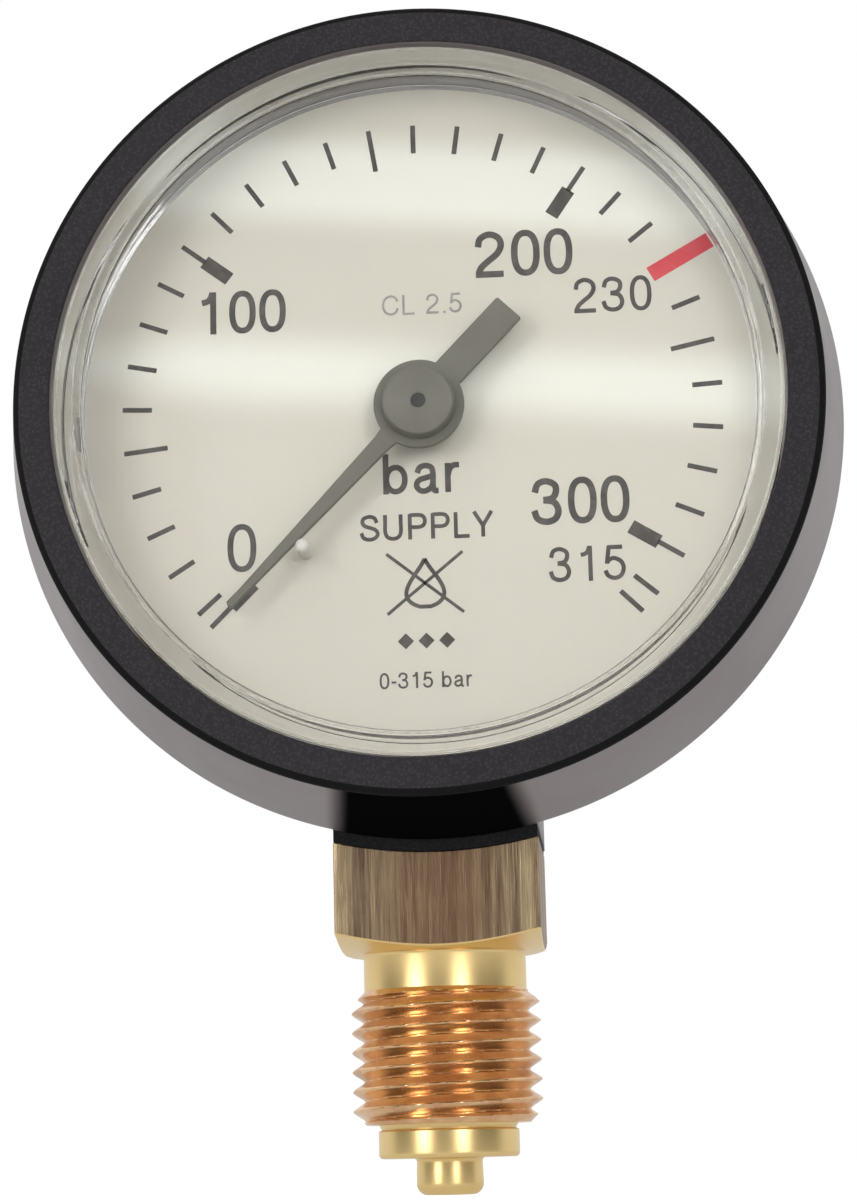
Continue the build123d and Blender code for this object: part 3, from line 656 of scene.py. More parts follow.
@dataclass(frozen=True)
class Finish:
    """A surface finish: what every finish shares."""

    name: str
    colour: Colour
    roughness: float

    def material(self) -> bpy.types.Material:
        """The finish's material, built the first time that it is asked for.

        Returns:
            The material.
        """
        found = bpy.data.materials.get(self.name)
        if found is not None:
            return found
        material = bpy.data.materials.new(self.name)
        material.use_nodes = True
        material.diffuse_color = (*self.colour, 1.0)
        graph = Graph(material.node_tree)
        shader = material.node_tree.nodes["Principled BSDF"]
        shader.inputs["Base Color"].default_value = (*self.colour, 1.0)
        shader.inputs["Roughness"].default_value = self.roughness
        place = graph.node("ShaderNodeTexCoord")
        self.dress(graph, shader, place)
        return material

    def dress(self, graph: Graph, shader: bpy.types.Node, place: bpy.types.Node) -> None:
        """Add the finish's own nodes.

        Args:
            graph: The material's graph.
            shader: Its Principled shader.
            place: Its Texture Coordinate node.
        """

    @staticmethod
    def use(graph: Graph, tree: bpy.types.NodeTree, inputs: dict[str, object]) -> bpy.types.Node:
        """Place a shared node group in the material.

        Args:
            graph: The graph that the nodes are added to.
            tree: The node tree.
            inputs: Values or output sockets for its inputs, by name.

        Returns:
            The group's node.
        """
        item = graph.node("ShaderNodeGroup")
        item.node_tree = tree
        for name, value in inputs.items():
            if isinstance(value, bpy.types.NodeSocket):
                graph.tree.links.new(value, item.inputs[name])
            else:
                item.inputs[name].default_value = value
        return item

    @staticmethod
    def bump(graph: Graph, shader: bpy.types.Node, height: object, depth: float,
             strength: float = 1.0) -> None:
        """Feed a height to the shader's normal, with its depth in metres.

        Args:
            graph: The graph that the nodes are added to.
            shader: The material's Principled shader.
            height: The height, or a socket that gives it.
            depth: How far the height reaches, in metres.
            strength: The share of the bump that shows.
        """
        inputs = {"Height": height, "Distance": depth, "Strength": strength}
        item = graph.node("ShaderNodeBump", inputs)
        graph.tree.links.new(item.outputs[0], shader.inputs["Normal"])


@dataclass(frozen=True)
class Plastic(Finish):
    """Moulded black plastic, with a grain and handling marks."""

    grain_scale: float = 3600.0
    grain_depth: float = 0.00003
    pale: Colour = (0.09, 0.085, 0.095)
    pale_share: float = 0.25
    specular: float = 0.5

    def dress(self, graph: Graph, shader: bpy.types.Node, place: bpy.types.Node) -> None:
        """Lift the grain's high spots towards a paler tone and bump them.

        Args:
            graph: The graph that the nodes are added to.
            shader: The material's Principled shader.
            place: The material's Texture Coordinate node.
        """
        where = place.outputs["Object"]
        grain = self.use(graph, grain_group(), {"Vector": where, "Scale": self.grain_scale})
        marks = self.use(graph, handling_group(), {"Vector": where, "Scale": 90.0})
        high = graph.spread(grain.outputs["Height"], -0.25, 0.35, 0.0, self.pale_share)
        tone = graph.mix(high, self.colour, self.pale)
        graph.tree.links.new(tone, shader.inputs["Base Color"])
        rough = graph.math("MULTIPLY_ADD", marks.outputs["Patch"], 0.08, self.roughness)
        graph.tree.links.new(rough, shader.inputs["Roughness"])
        shader.inputs["Specular IOR Level"].default_value = self.specular
        self.bump(graph, shader, grain.outputs["Height"], self.grain_depth)


@dataclass(frozen=True)
class Flank(Plastic):
    """The case's smooth side, with painted shade above the wrench block standing in for the block's
    shadow and dark reflection.
    """

    painted_shade_top: float = 0.0098
    painted_shade_half: float = 0.0066

    def dress(self, graph: Graph, shader: bpy.types.Node, place: bpy.types.Node) -> None:
        """Paint shade in: take the gloss and the colour away inside a soft box over the block.

        Args:
            graph: The graph that the nodes are added to.
            shader: The material's Principled shader.
            place: The material's Texture Coordinate node.
        """
        super().dress(graph, shader, place)
        # Painted shade: near black and without gloss inside a box over the block, standing in for the
        # block's shadow and dark reflection.
        split = graph.node("ShaderNodeSeparateXYZ", {0: place.outputs["Object"]})
        side = graph.math("ABSOLUTE", split.outputs["X"])
        lean = graph.math("MULTIPLY_ADD", split.outputs["Z"], 0.55, side)
        inside = graph.spread(lean, self.painted_shade_half + 0.0036, self.painted_shade_half + 0.0056, 1.0, 0.0)
        below = graph.spread(split.outputs["Z"], self.painted_shade_top, self.painted_shade_top + 0.001, 1.0, 0.0)
        painted_shade_mask = graph.math("MULTIPLY", inside, below)
        tone = shader.inputs["Base Color"].links[0].from_socket
        black = graph.mix(painted_shade_mask, tone, (0.003, 0.003, 0.0035))
        graph.tree.links.new(black, shader.inputs["Base Color"])
        gloss = graph.math("MULTIPLY_ADD", painted_shade_mask, -self.specular, self.specular)
        graph.tree.links.new(gloss, shader.inputs["Specular IOR Level"])
        rough = shader.inputs["Roughness"].links[0].from_socket
        graph.tree.links.new(graph.math("MULTIPLY_ADD", painted_shade_mask, 0.5, rough),
                             shader.inputs["Roughness"])


@dataclass(frozen=True)
class Clear(Finish):
    """Clear moulded plastic for the window; it lets the studio's light through to the dial."""

    index: float = 1.5

    def dress(self, graph: Graph, shader: bpy.types.Node, place: bpy.types.Node) -> None:
        """Transmit everything, with faint smears, and pass the light's own rays straight on.

        Args:
            graph: The graph that the nodes are added to.
            shader: The material's Principled shader.
            place: The material's Texture Coordinate node.
        """
        marks = self.use(
            graph, handling_group(), {"Vector": place.outputs["Object"], "Scale": 70.0}
        )
        rough = graph.math("MULTIPLY_ADD", marks.outputs["Patch"], 0.02, self.roughness)
        graph.tree.links.new(rough, shader.inputs["Roughness"])
        shader.inputs["Transmission Weight"].default_value = 1.0
        shader.inputs["IOR"].default_value = self.index
        path = graph.node("ShaderNodeLightPath")
        clear = graph.node("ShaderNodeBsdfTransparent", {"Color": (0.95, 0.95, 0.94, 1.0)})
        blend = graph.node(
            "ShaderNodeMixShader",
            {0: path.outputs["Is Shadow Ray"], 1: shader.outputs[0], 2: clear.outputs[0]},
        )
        output = graph.tree.nodes["Material Output"]
        graph.tree.links.new(blend.outputs[0], output.inputs["Surface"])


@dataclass(frozen=True)
class Silvered(Finish):
    """The dial's lacquered silver face, with painted reflections as soft slanting bands of a paler
    tone, and a very fine sand grain.
    """

    # sweep is the paler tone of the painted reflection bands.
    sweep: Colour = (0.78, 0.78, 0.7)
    metallic: float = 0.2
    slant: float = 0.09
    low_reflection_band: tuple[float, float, float] = (0.0368, 0.0408, 0.0022)
    high_reflection_band: tuple[float, float, float] = (0.0500, 0.0556, 0.0018)

    def reflection_band(self, graph: Graph, slant: object, edges: tuple[float, float, float]) -> object:
        """One soft painted reflection band: a rise at its lower edge less a rise at its upper edge.

        Args:
            graph: The graph that the nodes are added to.
            slant: The coordinate across the band.
            edges: The band's lower edge, upper edge and half its blur.

        Returns:
            The band's socket.
        """
        low, high, soft = edges
        rise = graph.spread(slant, low - soft, low + soft, 0.0, 1.0)
        fall = graph.spread(slant, high - soft, high + soft, 0.0, 1.0)
        return graph.math("SUBTRACT", rise, fall)

    def dress(self, graph: Graph, shader: bpy.types.Node, place: bpy.types.Node) -> None:
        """Paint reflections in as two slanting bands of a paler tone, and fade them out at the edge on
        the left.

        Args:
            graph: The graph that the nodes are added to.
            shader: The material's Principled shader.
            place: The material's Texture Coordinate node.
        """
        where = place.outputs["Object"]
        split = graph.node("ShaderNodeSeparateXYZ", {0: where})
        slant = graph.math("MULTIPLY_ADD", split.outputs["X"], self.slant, split.outputs["Z"])
        share = self.reflection_band(graph, slant, self.low_reflection_band)
        share = graph.math("MAXIMUM", share, self.reflection_band(graph, slant, self.high_reflection_band))
        noise = graph.node("ShaderNodeTexNoise", {"Vector": where, "Scale": 60.0, "Detail": 1.0})
        share = graph.math("MULTIPLY_ADD", noise.outputs["Fac"], 0.2, share)
        # The painted reflection bands fade out towards the dial's left edge.
        edge = graph.spread(split.outputs["X"], -0.025, -0.013, -0.6, 0.0)
        share = graph.math("ADD", share, edge)
        graph.tree.links.new(
            graph.mix(share, self.colour, self.sweep), shader.inputs["Base Color"]
        )
        shader.inputs["Metallic"].default_value = self.metallic
        grain = self.use(graph, grain_group(), {"Vector": where, "Scale": 9000.0})
        self.bump(graph, shader, grain.outputs["Height"], 0.000004)


@dataclass(frozen=True)
class Ink(Finish):
    """Printing ink, which lies slightly uneven on the dial."""

    thin: Colour = (0.12, 0.11, 0.1)

    def dress(self, graph: Graph, shader: bpy.types.Node, place: bpy.types.Node) -> None:
        """Vary the ink's cover with a fine noise.

        Args:
            graph: The graph that the nodes are added to.
            shader: The material's Principled shader.
            place: The material's Texture Coordinate node.
        """
        marks = self.use(
            graph, handling_group(), {"Vector": place.outputs["Object"], "Scale": 900.0}
        )
        share = graph.math("MULTIPLY", marks.outputs["Patch"], 0.6)
        graph.tree.links.new(graph.mix(share, self.colour, self.thin), shader.inputs["Base Color"])
        self.bump(graph, shader, marks.outputs["Patch"], 0.000005)


@dataclass(frozen=True)
class Paint(Finish):
    """Satin paint on metal or a smooth moulded part, with a faint orange peel and wear."""

    worn: Colour = (0.3, 0.29, 0.27)
    worn_share: float = 0.15
    peel_scale: float = 1500.0

    def dress(self, graph: Graph, shader: bpy.types.Node, place: bpy.types.Node) -> None:
        """Show specks of the worn tone and bump the peel.

        Args:
            graph: The graph that the nodes are added to.
            shader: The material's Principled shader.
            place: The material's Texture Coordinate node.
        """
        where = place.outputs["Object"]
        marks = self.use(graph, handling_group(), {"Vector": where, "Scale": 260.0})
        peel = self.use(graph, grain_group(), {"Vector": where, "Scale": self.peel_scale})
        share = graph.math("MULTIPLY", marks.outputs["Patch"], self.worn_share)
        graph.tree.links.new(graph.mix(share, self.colour, self.worn), shader.inputs["Base Color"])
        rough = graph.math("MULTIPLY_ADD", marks.outputs["Speck"], 0.15, self.roughness)
        graph.tree.links.new(rough, shader.inputs["Roughness"])
        self.bump(graph, shader, peel.outputs["Height"], 0.000006)


@dataclass(frozen=True)
class Turned(Finish):
    """Turned metal: bright, with fine tool rings and a tarnish that gathers in patches."""

    tarnish: Colour = (0.55, 0.3, 0.12)
    tarnish_share: float = 0.35
    ring_scale: float = 5200.0
    ring_depth: float = 0.000012
    along: str = "Z"

    def dress(self, graph: Graph, shader: bpy.types.Node, place: bpy.types.Node) -> None:
        """Ring the surface along its own axis and tarnish it in patches.

        Args:
            graph: The graph that the nodes are added to.
            shader: The material's Principled shader.
            place: The material's Texture Coordinate node.
        """
        where = place.outputs["Object"]
        split = graph.node("ShaderNodeSeparateXYZ", {0: where})
        rings = self.use(
            graph, tool_mark_group(), {"Along": split.outputs[self.along], "Scale": self.ring_scale}
        )
        marks = self.use(graph, handling_group(), {"Vector": where, "Scale": 420.0})
        share = graph.math("MULTIPLY", marks.outputs["Patch"], self.tarnish_share)
        graph.tree.links.new(
            graph.mix(share, self.colour, self.tarnish), shader.inputs["Base Color"]
        )
        rough = graph.math("MULTIPLY_ADD", marks.outputs["Patch"], 0.1, self.roughness)
        graph.tree.links.new(rough, shader.inputs["Roughness"])
        shader.inputs["Metallic"].default_value = 1.0
        self.bump(graph, shader, rings.outputs["Height"], self.ring_depth)


@dataclass(frozen=True)
class Brushed(Finish):
    """Drawn bar stock: long streaks of tone along one direction, dull, with a painted shade down the
    middle of the face where one is asked for.
    """

    pale: Colour = (0.44, 0.34, 0.2)
    dark: Colour = (0.12, 0.075, 0.05)
    stretch: Point = (1.0, 1.0, 0.03)
    streak_scale: float = 1500.0
    painted_middle_shade: Colour = (0.13, 0.06, 0.035)
    painted_middle_shade_share: float = 0.0

    def dress(self, graph: Graph, shader: bpy.types.Node, place: bpy.types.Node) -> None:
        """Draw the noise out along the streaks and let it set tone, gloss and bump.

        Args:
            graph: The graph that the nodes are added to.
            shader: The material's Principled shader.
            place: The material's Texture Coordinate node.
        """
        where = place.outputs["Object"]
        drawn = graph.scaled(where, self.stretch)
        streaks = self.use(
            graph, streak_group(), {"Vector": drawn, "Scale": self.streak_scale}
        )
        marks = self.use(graph, handling_group(), {"Vector": where, "Scale": 300.0})
        tone = graph.mix(streaks.outputs["Tone"], self.dark, self.pale)
        tone = graph.mix(graph.math("MULTIPLY", marks.outputs["Patch"], 0.5), tone, self.colour)
        # Painted shade: the face darkens towards a deep brown down its middle, standing in for the
        # shade seen there; its strength is the share given.
        split = graph.node("ShaderNodeSeparateXYZ", {0: where})
        side = graph.math("ABSOLUTE", graph.math("SUBTRACT", split.outputs["X"], 0.0004))
        middle = graph.spread(side, 0.0012, 0.0056, self.painted_middle_shade_share, 0.0)
        tone = graph.mix(middle, tone, self.painted_middle_shade)
        graph.tree.links.new(tone, shader.inputs["Base Color"])
        rough = graph.math("MULTIPLY_ADD", streaks.outputs["Scratch"], 0.14, self.roughness)
        graph.tree.links.new(rough, shader.inputs["Roughness"])
        shader.inputs["Metallic"].default_value = 1.0
        height = graph.math("ADD", streaks.outputs["Tone"], streaks.outputs["Scratch"])
        self.bump(graph, shader, height, 0.000012)


RIM_BLACK = Plastic("rim_black", (0.022, 0.0185, 0.022), 0.62, grain_scale=4200.0,
                    grain_depth=0.00003, pale=(0.045, 0.038, 0.046), pale_share=0.75,
                    specular=0.22)
# Painted reflection: the flank's grey base colour stands in for the pale floor that the black side
# reflects at a glancing angle; the real side is black, and this grey shows from every side.
FLANK_PAINTED_SHEEN = Flank("flank_painted_sheen", (0.17, 0.145, 0.14), 0.36, grain_scale=5200.0,
                    grain_depth=0.000006, pale=(0.2, 0.175, 0.17), pale_share=0.3,
                    specular=0.8)
# Painted shade: the rim's outer edge is blacker and duller than the rim, standing in for the shade and
# dark reflection that show as a black line there.
EDGE_PAINTED_SHADE = Plastic("edge_painted_shade", (0.005, 0.0045, 0.005), 0.7, pale=(0.012, 0.011, 0.012),
                     specular=0.12)
RUBBER = Plastic("gasket_rubber", (0.006, 0.006, 0.007), 0.75, grain_scale=4200.0,
                 grain_depth=0.00002, pale=(0.02, 0.02, 0.022), pale_share=0.5, specular=0.2)
WINDOW_CLEAR = Clear("window_clear", (1.0, 1.0, 1.0), 0.01)
DIAL_SILVER = Silvered("dial_silver", (0.58, 0.552, 0.475), 0.45)
INK_GREY = Ink("ink_grey", (0.055, 0.048, 0.042), 0.55)
INK_PALE = Ink("ink_pale", (0.25, 0.24, 0.22), 0.55, thin=(0.36, 0.35, 0.32))
INK_RED = Ink("ink_red", (0.58, 0.045, 0.06), 0.5, thin=(0.62, 0.09, 0.1))
POINTER_GREY = Paint("pointer_grey", (0.135, 0.13, 0.105), 0.42, worn=(0.19, 0.185, 0.155))
PIN_PALE = Paint("pin_pale", (0.62, 0.6, 0.55), 0.35, worn=(0.5, 0.48, 0.44))
BRASS_TURNED = Turned("brass_turned", (0.68, 0.37, 0.125), 0.1)
BRASS_THREAD = Turned("brass_thread", (0.84, 0.54, 0.29), 0.2, tarnish=(0.5, 0.24, 0.12),
                      tarnish_share=0.5)
# The block's darker middle is painted shade.
BRASS_BLOCK = Brushed("brass_block", (0.28, 0.2, 0.13), 0.38, painted_middle_shade_share=0.62)
BRASS_MOVEMENT = Brushed("brass_movement", (0.72, 0.52, 0.26), 0.3, pale=(0.8, 0.6, 0.32),
                         dark=(0.6, 0.42, 0.2), stretch=(0.05, 1.0, 1.0))
TUBE_BRONZE = Turned("tube_bronze", (0.68, 0.4, 0.22), 0.28, along="Y")
SHAFT_DARK = Paint("shaft_dark", (0.03, 0.03, 0.028), 0.5, worn=(0.06, 0.06, 0.055))
STEEL_BRIGHT = Turned("steel_bright", (0.6, 0.59, 0.57), 0.24, tarnish=(0.4, 0.38, 0.35),
                      along="Y")


def dress_node(node: str, finish: Finish) -> None:
    """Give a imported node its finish, in every material slot that it has.

    Args:
        node: The node's name.
        finish: The finish.
    """
    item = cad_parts[node]
    material = finish.material()
    if not item.material_slots:
        item.data.materials.append(material)
    for entry in item.material_slots:
        entry.material = material
    log.info("%s: dressed as %s", node, finish.name)


# =========================================================================================
# Case
# =========================================================================================
@dataclass
class Case:
    """The moulded case with its back cover, plug and screws."""

    places: Places
    rim_radius: float = 0.0272
    mouth_radius: float = 0.02475
    wall: float = 0.0032
    widest: float = -0.0072
    edge_round: float = 0.00045
    mouth_round: float = 0.00018
    back_radius: float = 0.0269
    back_round: float = 0.0003
    ledge_width: float = 0.0015
    ledge_depth: float = 0.0016
    dial_thickness: float = 0.0006
    pad_bite: float = 0.0004
    seat_width: float = 0.0003
    pad_half: float = 0.00695
    cover_thickness: float = 0.002
    slot_half: float = 0.0056
    slot_front: float = 0.005
    segments: int = 320

    def profile(self) -> tuple[Array, Array]:
        """The wall's section as a loop of radius and depth, with a finish for each point.

        Returns:
            The points, and 0 for the grained rim, 1 for the smooth side or 2 for the edge between,
            which is painted with shade.
        """
        front, back = self.places.rim_front, self.places.case_back
        outer = self.places.case_radius
        bore = outer - self.wall
        ledge = self.mouth_radius - self.ledge_width
        ledge_front = self.places.dial_front + self.dial_thickness
        corners = [
            (self.mouth_radius, front),
            (self.rim_radius, front),
            (outer, self.widest),
            (self.back_radius, back),
            (bore + self.seat_width, back),
            (bore + self.seat_width, back - self.cover_thickness),
            (bore, back - self.cover_thickness),
            (bore, ledge_front + self.ledge_depth),
            (ledge, ledge_front + self.ledge_depth),
            (ledge, ledge_front),
            (self.mouth_radius, ledge_front),
        ]
        radii = [self.mouth_round, self.edge_round, 0.0015, self.back_round, 0.0002, 0.0001,
                 0.0002, 0.0001, 0.0001, 0.0001, 0.0001]
        points = rounded(corners, radii, True, 6)
        face_end = self.rim_radius - self.edge_round
        on_face = (points[:, 1] < front + self.mouth_round) & (points[:, 0] < face_end)
        on_edge = (points[:, 0] >= face_end) & (points[:, 1] < front + self.edge_round)
        return points, np.where(on_face, 0, np.where(on_edge, 2, 1))

    def shell(self) -> bpy.types.Object:
        """The case wall, with the slot that the socket's neck slides into from behind.

        The section is turned round the case axis. In the slot its quads are left out between the
        outer and the inner wall behind slot_front, and the opening is walled on three sides.

        Returns:
            The case shell.
        """
        section, kinds = self.profile()
        first = int(np.flatnonzero((section[:, 0] > self.back_radius - 0.0002)
                                   & (section[:, 1] > 0))[0])
        after = int(np.flatnonzero((section[:, 1] < 0) & (np.arange(len(section)) > first))[0])
        share = (self.slot_front - section[first - 1, 1]) / np.ptp(section[first - 1:first + 1, 1])
        radius = section[first - 1, 0] + share * (section[first, 0] - section[first - 1, 0])
        section = np.insert(section, [first, after], [[radius, self.slot_front],
                                                      [section[after, 0], self.slot_front]], axis=0)
        section[after + 1, 0] = section[after, 0]
        kinds = np.insert(kinds, [first, after], 1)
        last = after + 1
        angle = np.arange(self.segments) * TURN / self.segments - math.pi / 2
        half = math.asin(self.slot_half / self.places.case_radius)
        patch = Patch()
        points = turned(self.places, TurnAxis.CASE, section[:, :1], section[:, 1:], angle[None])
        turn_step = TURN / self.segments
        span = int(round(half / turn_step))
        in_slot = np.zeros(self.segments, bool)
        in_slot[:span] = True
        in_slot[-span:] = True
        keep = np.ones(points.shape[:2], bool)
        keep[first:last, in_slot] = False
        index = patch.grid(points, True, True, False, kinds, keep)
        chain = index[first:last + 1]
        patch.face(chain[:, span].tolist(), 1)
        patch.face(chain[::-1, -span].tolist(), 1)
        ends = [(column % self.segments, (column + 1) % self.segments) for column in range(-span, span)]
        for here, there in ends:
            patch.face([index[first, here], index[first, there],
                        index[last, there], index[last, here]], 1)
        materials = [RIM_BLACK.material(), FLANK_PAINTED_SHEEN.material(), EDGE_PAINTED_SHADE.material()]
        piece = patch.piece("case_wall", materials, "housing", "black_plastic")
        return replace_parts(piece, "case_shell")

    def pad(self) -> bpy.types.Object:
        """The pad under the tapered back: slabs between the wall and the case's widest radius.

        Each slab's outline runs along two arcs, whose height is the root of the radius squared
        less x squared. Behind the neck there are two, one each side of the slot.

        Returns:
            The pad.
        """
        patch = Patch()
        outer, inner = self.places.case_radius, self.back_radius - self.pad_bite
        spans = [(-self.pad_half, self.pad_half, self.widest, -self.slot_half),
                 (-self.pad_half, -self.slot_half, -self.slot_half, self.places.case_back),
                 (self.slot_half, self.pad_half, -self.slot_half, self.places.case_back)]
        for left, right, front, back in spans:
            across = np.linspace(left, right, 16)
            low = np.stack([across, -np.sqrt(outer**2 - across**2)], -1)
            high = np.stack([across, -np.sqrt(inner**2 - across**2)], -1)[::-1]
            slab(patch, self.places, np.concatenate([low, high]), back, front)
        return patch.piece("case_stem_pad", [FLANK_PAINTED_SHEEN.material()], "housing", "black_plastic")

    def build(self) -> None:
        """Build the wall and dress the pieces that close the back."""
        self.shell()
        self.pad()
        dress_node("back_cover", RIM_BLACK)
        dress_node("blowout_plug", RUBBER)
        dress_node("cover_screws", STEEL_BRIGHT)
        dress_node("stem_gasket", RUBBER)


# =========================================================================================
# Window
# =========================================================================================
@dataclass
class Window:
    """The clear snap-in window with its stepped lip and moulding gate."""

    places: Places
    lip_height: float = 0.0007
    lip_width: float = 0.0017
    thickness: float = 0.0016
    skirt: float = 0.0013
    gate_angle: float = 184.6
    gate_length: float = 0.0026
    gate_width: float = 0.0005
    gate_height: float = 0.0004
    edge_gap: float = 0.0002
    foot_gap: float = 0.00003
    lip_slope: float = 0.00035
    segments: int = 320

    def pane(self) -> bpy.types.Object:
        """The pane, lip and skirt as one turned section.

        Returns:
            The window.
        """
        edge, lip = self.places.window_radius - self.edge_gap, self.places.window_front
        front = lip + self.lip_height
        back = front + self.thickness
        inner = edge - self.skirt
        middle = 0.0004
        foot = self.places.dial_front - self.foot_gap
        corners = [
            (middle, front),
            (edge - self.lip_width, front),
            (edge - self.lip_width + self.lip_slope, lip),
            (edge, lip),
            (edge, foot),
            (inner, foot),
            (inner, back),
            (middle, back),
        ]
        radii = [0.0, 0.00025, 0.0002, 0.0003, 0.0001, 0.0001, 0.0004, 0.0]
        patch = Patch()
        lathe(patch, self.places, TurnAxis.CASE, rounded(corners, radii, False, 6),
              self.segments, False)
        piece = patch.piece("window_pane", [WINDOW_CLEAR.material()], "housing", "clear_plastic")
        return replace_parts(piece, "window")

    def gate(self) -> bpy.types.Object:
        """The moulding gate's stub on the lip: half an ellipsoid bent round the window.

        Its radius and angle follow the ellipse's sine and cosine, and its height the square root
        of what is left of one.

        Returns:
            The stub.
        """
        rows, columns = 9, 20
        rise = np.linspace(0.0, 0.48 * math.pi, rows)[:, None]
        turn = np.arange(columns)[None] * TURN / columns
        place = self.places.window_radius - self.lip_width
        radius = place + self.gate_width / 2 * np.cos(rise) * np.cos(turn)
        spread = self.gate_length / 2 / place
        angle = math.radians(self.gate_angle) + spread * np.cos(rise) * np.sin(turn)
        depth = self.places.window_front + self.lip_height - self.gate_height * np.sin(rise)
        patch = Patch()
        patch.grid(turned(self.places, TurnAxis.CASE, radius, depth, angle), False, True, True)
        return patch.piece("window_gate_stub", [INK_PALE.material()], "housing", "clear_plastic")

    def build(self) -> None:
        """Build the window's pieces."""
        self.pane()
        self.gate()


# =========================================================================================
# Dial
# =========================================================================================
def stroke(*points: tuple[float, float]) -> Array:
    """A straight stroke's points.

    Returns:
        The points, one row each.
    """
    return np.array(points, float)


def oval(centre: tuple[float, float], across: float, up: float, power: float = 2.35,
         steps: int = 36) -> Array:
    """A superellipse: each coordinate is its half size times the cosine or sine to the power
    2 / power, with the sign kept.

    Args:
        centre: The middle of the curve.
        across: Half its width.
        up: Half its height.
        power: The exponent; 2 gives an ellipse.
        steps: The number of points.

    Returns:
        The curve's points, one row each.
    """
    angle = np.arange(steps) * TURN / steps
    cosine, sine = np.cos(angle), np.sin(angle)
    exponent = 2 / power
    return np.stack(
        [
            centre[0] + across * np.sign(cosine) * np.abs(cosine) ** exponent,
            centre[1] + up * np.sign(sine) * np.abs(sine) ** exponent,
        ],
        axis=-1,
    )


@dataclass(frozen=True)
class Glyph:
    """A character: its strokes on a unit cap height, closed loops apart, and its advance."""

    strokes: tuple[Array, ...] = ()
    loops: tuple[Array, ...] = ()
    advance: float = 0.76


GLYPHS: dict[str, Glyph] = {
    "0": Glyph(loops=(oval((0.31, 0.5), 0.235, 0.44),), advance=0.69),
    "1": Glyph(strokes=(
        stroke((0.4, 0.0), (0.4, 1.0)),
        smooth_path([(0.14, 0.75), (0.26, 0.78), (0.34, 0.86), (0.385, 0.99)]),
    )),
    "2": Glyph(strokes=(
        smooth_path([(0.07, 0.67), (0.12, 0.85), (0.31, 0.94), (0.5, 0.86), (0.555, 0.69),
                     (0.47, 0.51), (0.28, 0.35), (0.13, 0.21), (0.07, 0.06)]),
        stroke((0.01, 0.06), (0.6, 0.06)),
    )),
    "3": Glyph(strokes=(
        smooth_path([(0.07, 0.7), (0.14, 0.88), (0.31, 0.94), (0.49, 0.86), (0.52, 0.71),
                     (0.44, 0.57), (0.25, 0.53)]),
        smooth_path([(0.25, 0.53), (0.47, 0.48), (0.56, 0.3), (0.49, 0.12), (0.3, 0.06),
                     (0.12, 0.13), (0.05, 0.31)]),
    )),
    "5": Glyph(strokes=(
        stroke((0.12, 0.94), (0.54, 0.94)),
        stroke((0.165, 0.96), (0.1, 0.47)),
        smooth_path([(0.1, 0.5), (0.2, 0.6), (0.33, 0.62), (0.5, 0.52), (0.56, 0.33),
                     (0.48, 0.13), (0.3, 0.06), (0.13, 0.13), (0.05, 0.28)]),
    )),
    "b": Glyph(strokes=(stroke((0.08, 0.0), (0.08, 1.0)),),
               loops=(oval((0.315, 0.36), 0.225, 0.3, 2.1),), advance=0.76),
    "a": Glyph(strokes=(
        smooth_path([(0.08, 0.5), (0.14, 0.63), (0.28, 0.68), (0.42, 0.63), (0.46, 0.5),
                     (0.46, 0.3), (0.46, 0.14), (0.5, 0.05), (0.59, 0.05)]),
        smooth_path([(0.46, 0.42), (0.3, 0.38), (0.12, 0.32), (0.06, 0.19), (0.14, 0.07),
                     (0.27, 0.05), (0.41, 0.13), (0.46, 0.26)]),
    ), advance=0.74),
    "r": Glyph(strokes=(
        stroke((0.08, 0.0), (0.08, 0.72)),
        smooth_path([(0.08, 0.42), (0.13, 0.57), (0.22, 0.66), (0.36, 0.67)]),
    ), advance=0.46),
    "C": Glyph(strokes=(
        smooth_path([(0.76, 0.68), (0.66, 0.87), (0.43, 0.95), (0.17, 0.82), (0.07, 0.5),
                     (0.17, 0.18), (0.43, 0.05), (0.67, 0.14), (0.77, 0.35)]),
    ), advance=0.97),
    "L": Glyph(strokes=(stroke((0.08, 0.0), (0.08, 1.0)), stroke((0.03, 0.05), (0.6, 0.05))),
               advance=0.75),
    "S": Glyph(strokes=(
        smooth_path([(0.66, 0.7), (0.57, 0.89), (0.37, 0.95), (0.16, 0.88), (0.11, 0.72),
                     (0.21, 0.58), (0.41, 0.51), (0.61, 0.42), (0.69, 0.26), (0.59, 0.11),
                     (0.37, 0.05), (0.15, 0.12), (0.06, 0.32)]),
    ), advance=0.9),
    "U": Glyph(strokes=(
        smooth_path([(0.08, 1.0), (0.08, 0.66), (0.08, 0.32), (0.17, 0.12), (0.38, 0.05),
                     (0.59, 0.12), (0.68, 0.32), (0.68, 0.66), (0.68, 1.0)]),
    ), advance=0.95),
    "P": Glyph(strokes=(
        stroke((0.08, 0.0), (0.08, 1.0)),
        smooth_path([(0.08, 0.95), (0.44, 0.95), (0.6, 0.88), (0.66, 0.72), (0.6, 0.55),
                     (0.44, 0.48), (0.08, 0.48)]),
    ), advance=0.88),
    "Y": Glyph(strokes=(
        stroke((0.03, 1.0), (0.37, 0.44)),
        stroke((0.71, 1.0), (0.37, 0.44)),
        stroke((0.37, 0.47), (0.37, 0.0)),
    ), advance=0.85),
    "-": Glyph(strokes=(stroke((0.06, 0.4), (0.36, 0.4)),), advance=0.46),
    ".": Glyph(strokes=(stroke((0.06, 0.06), (0.18, 0.06)),), advance=0.34),
    " ": Glyph(advance=0.4),
}


@dataclass(frozen=True)
class Label:
    """One printed word or number: where its middle is, and how tall its capitals are."""

    text: str
    across: float
    up: float
    height: float
    weight: float = 0.14


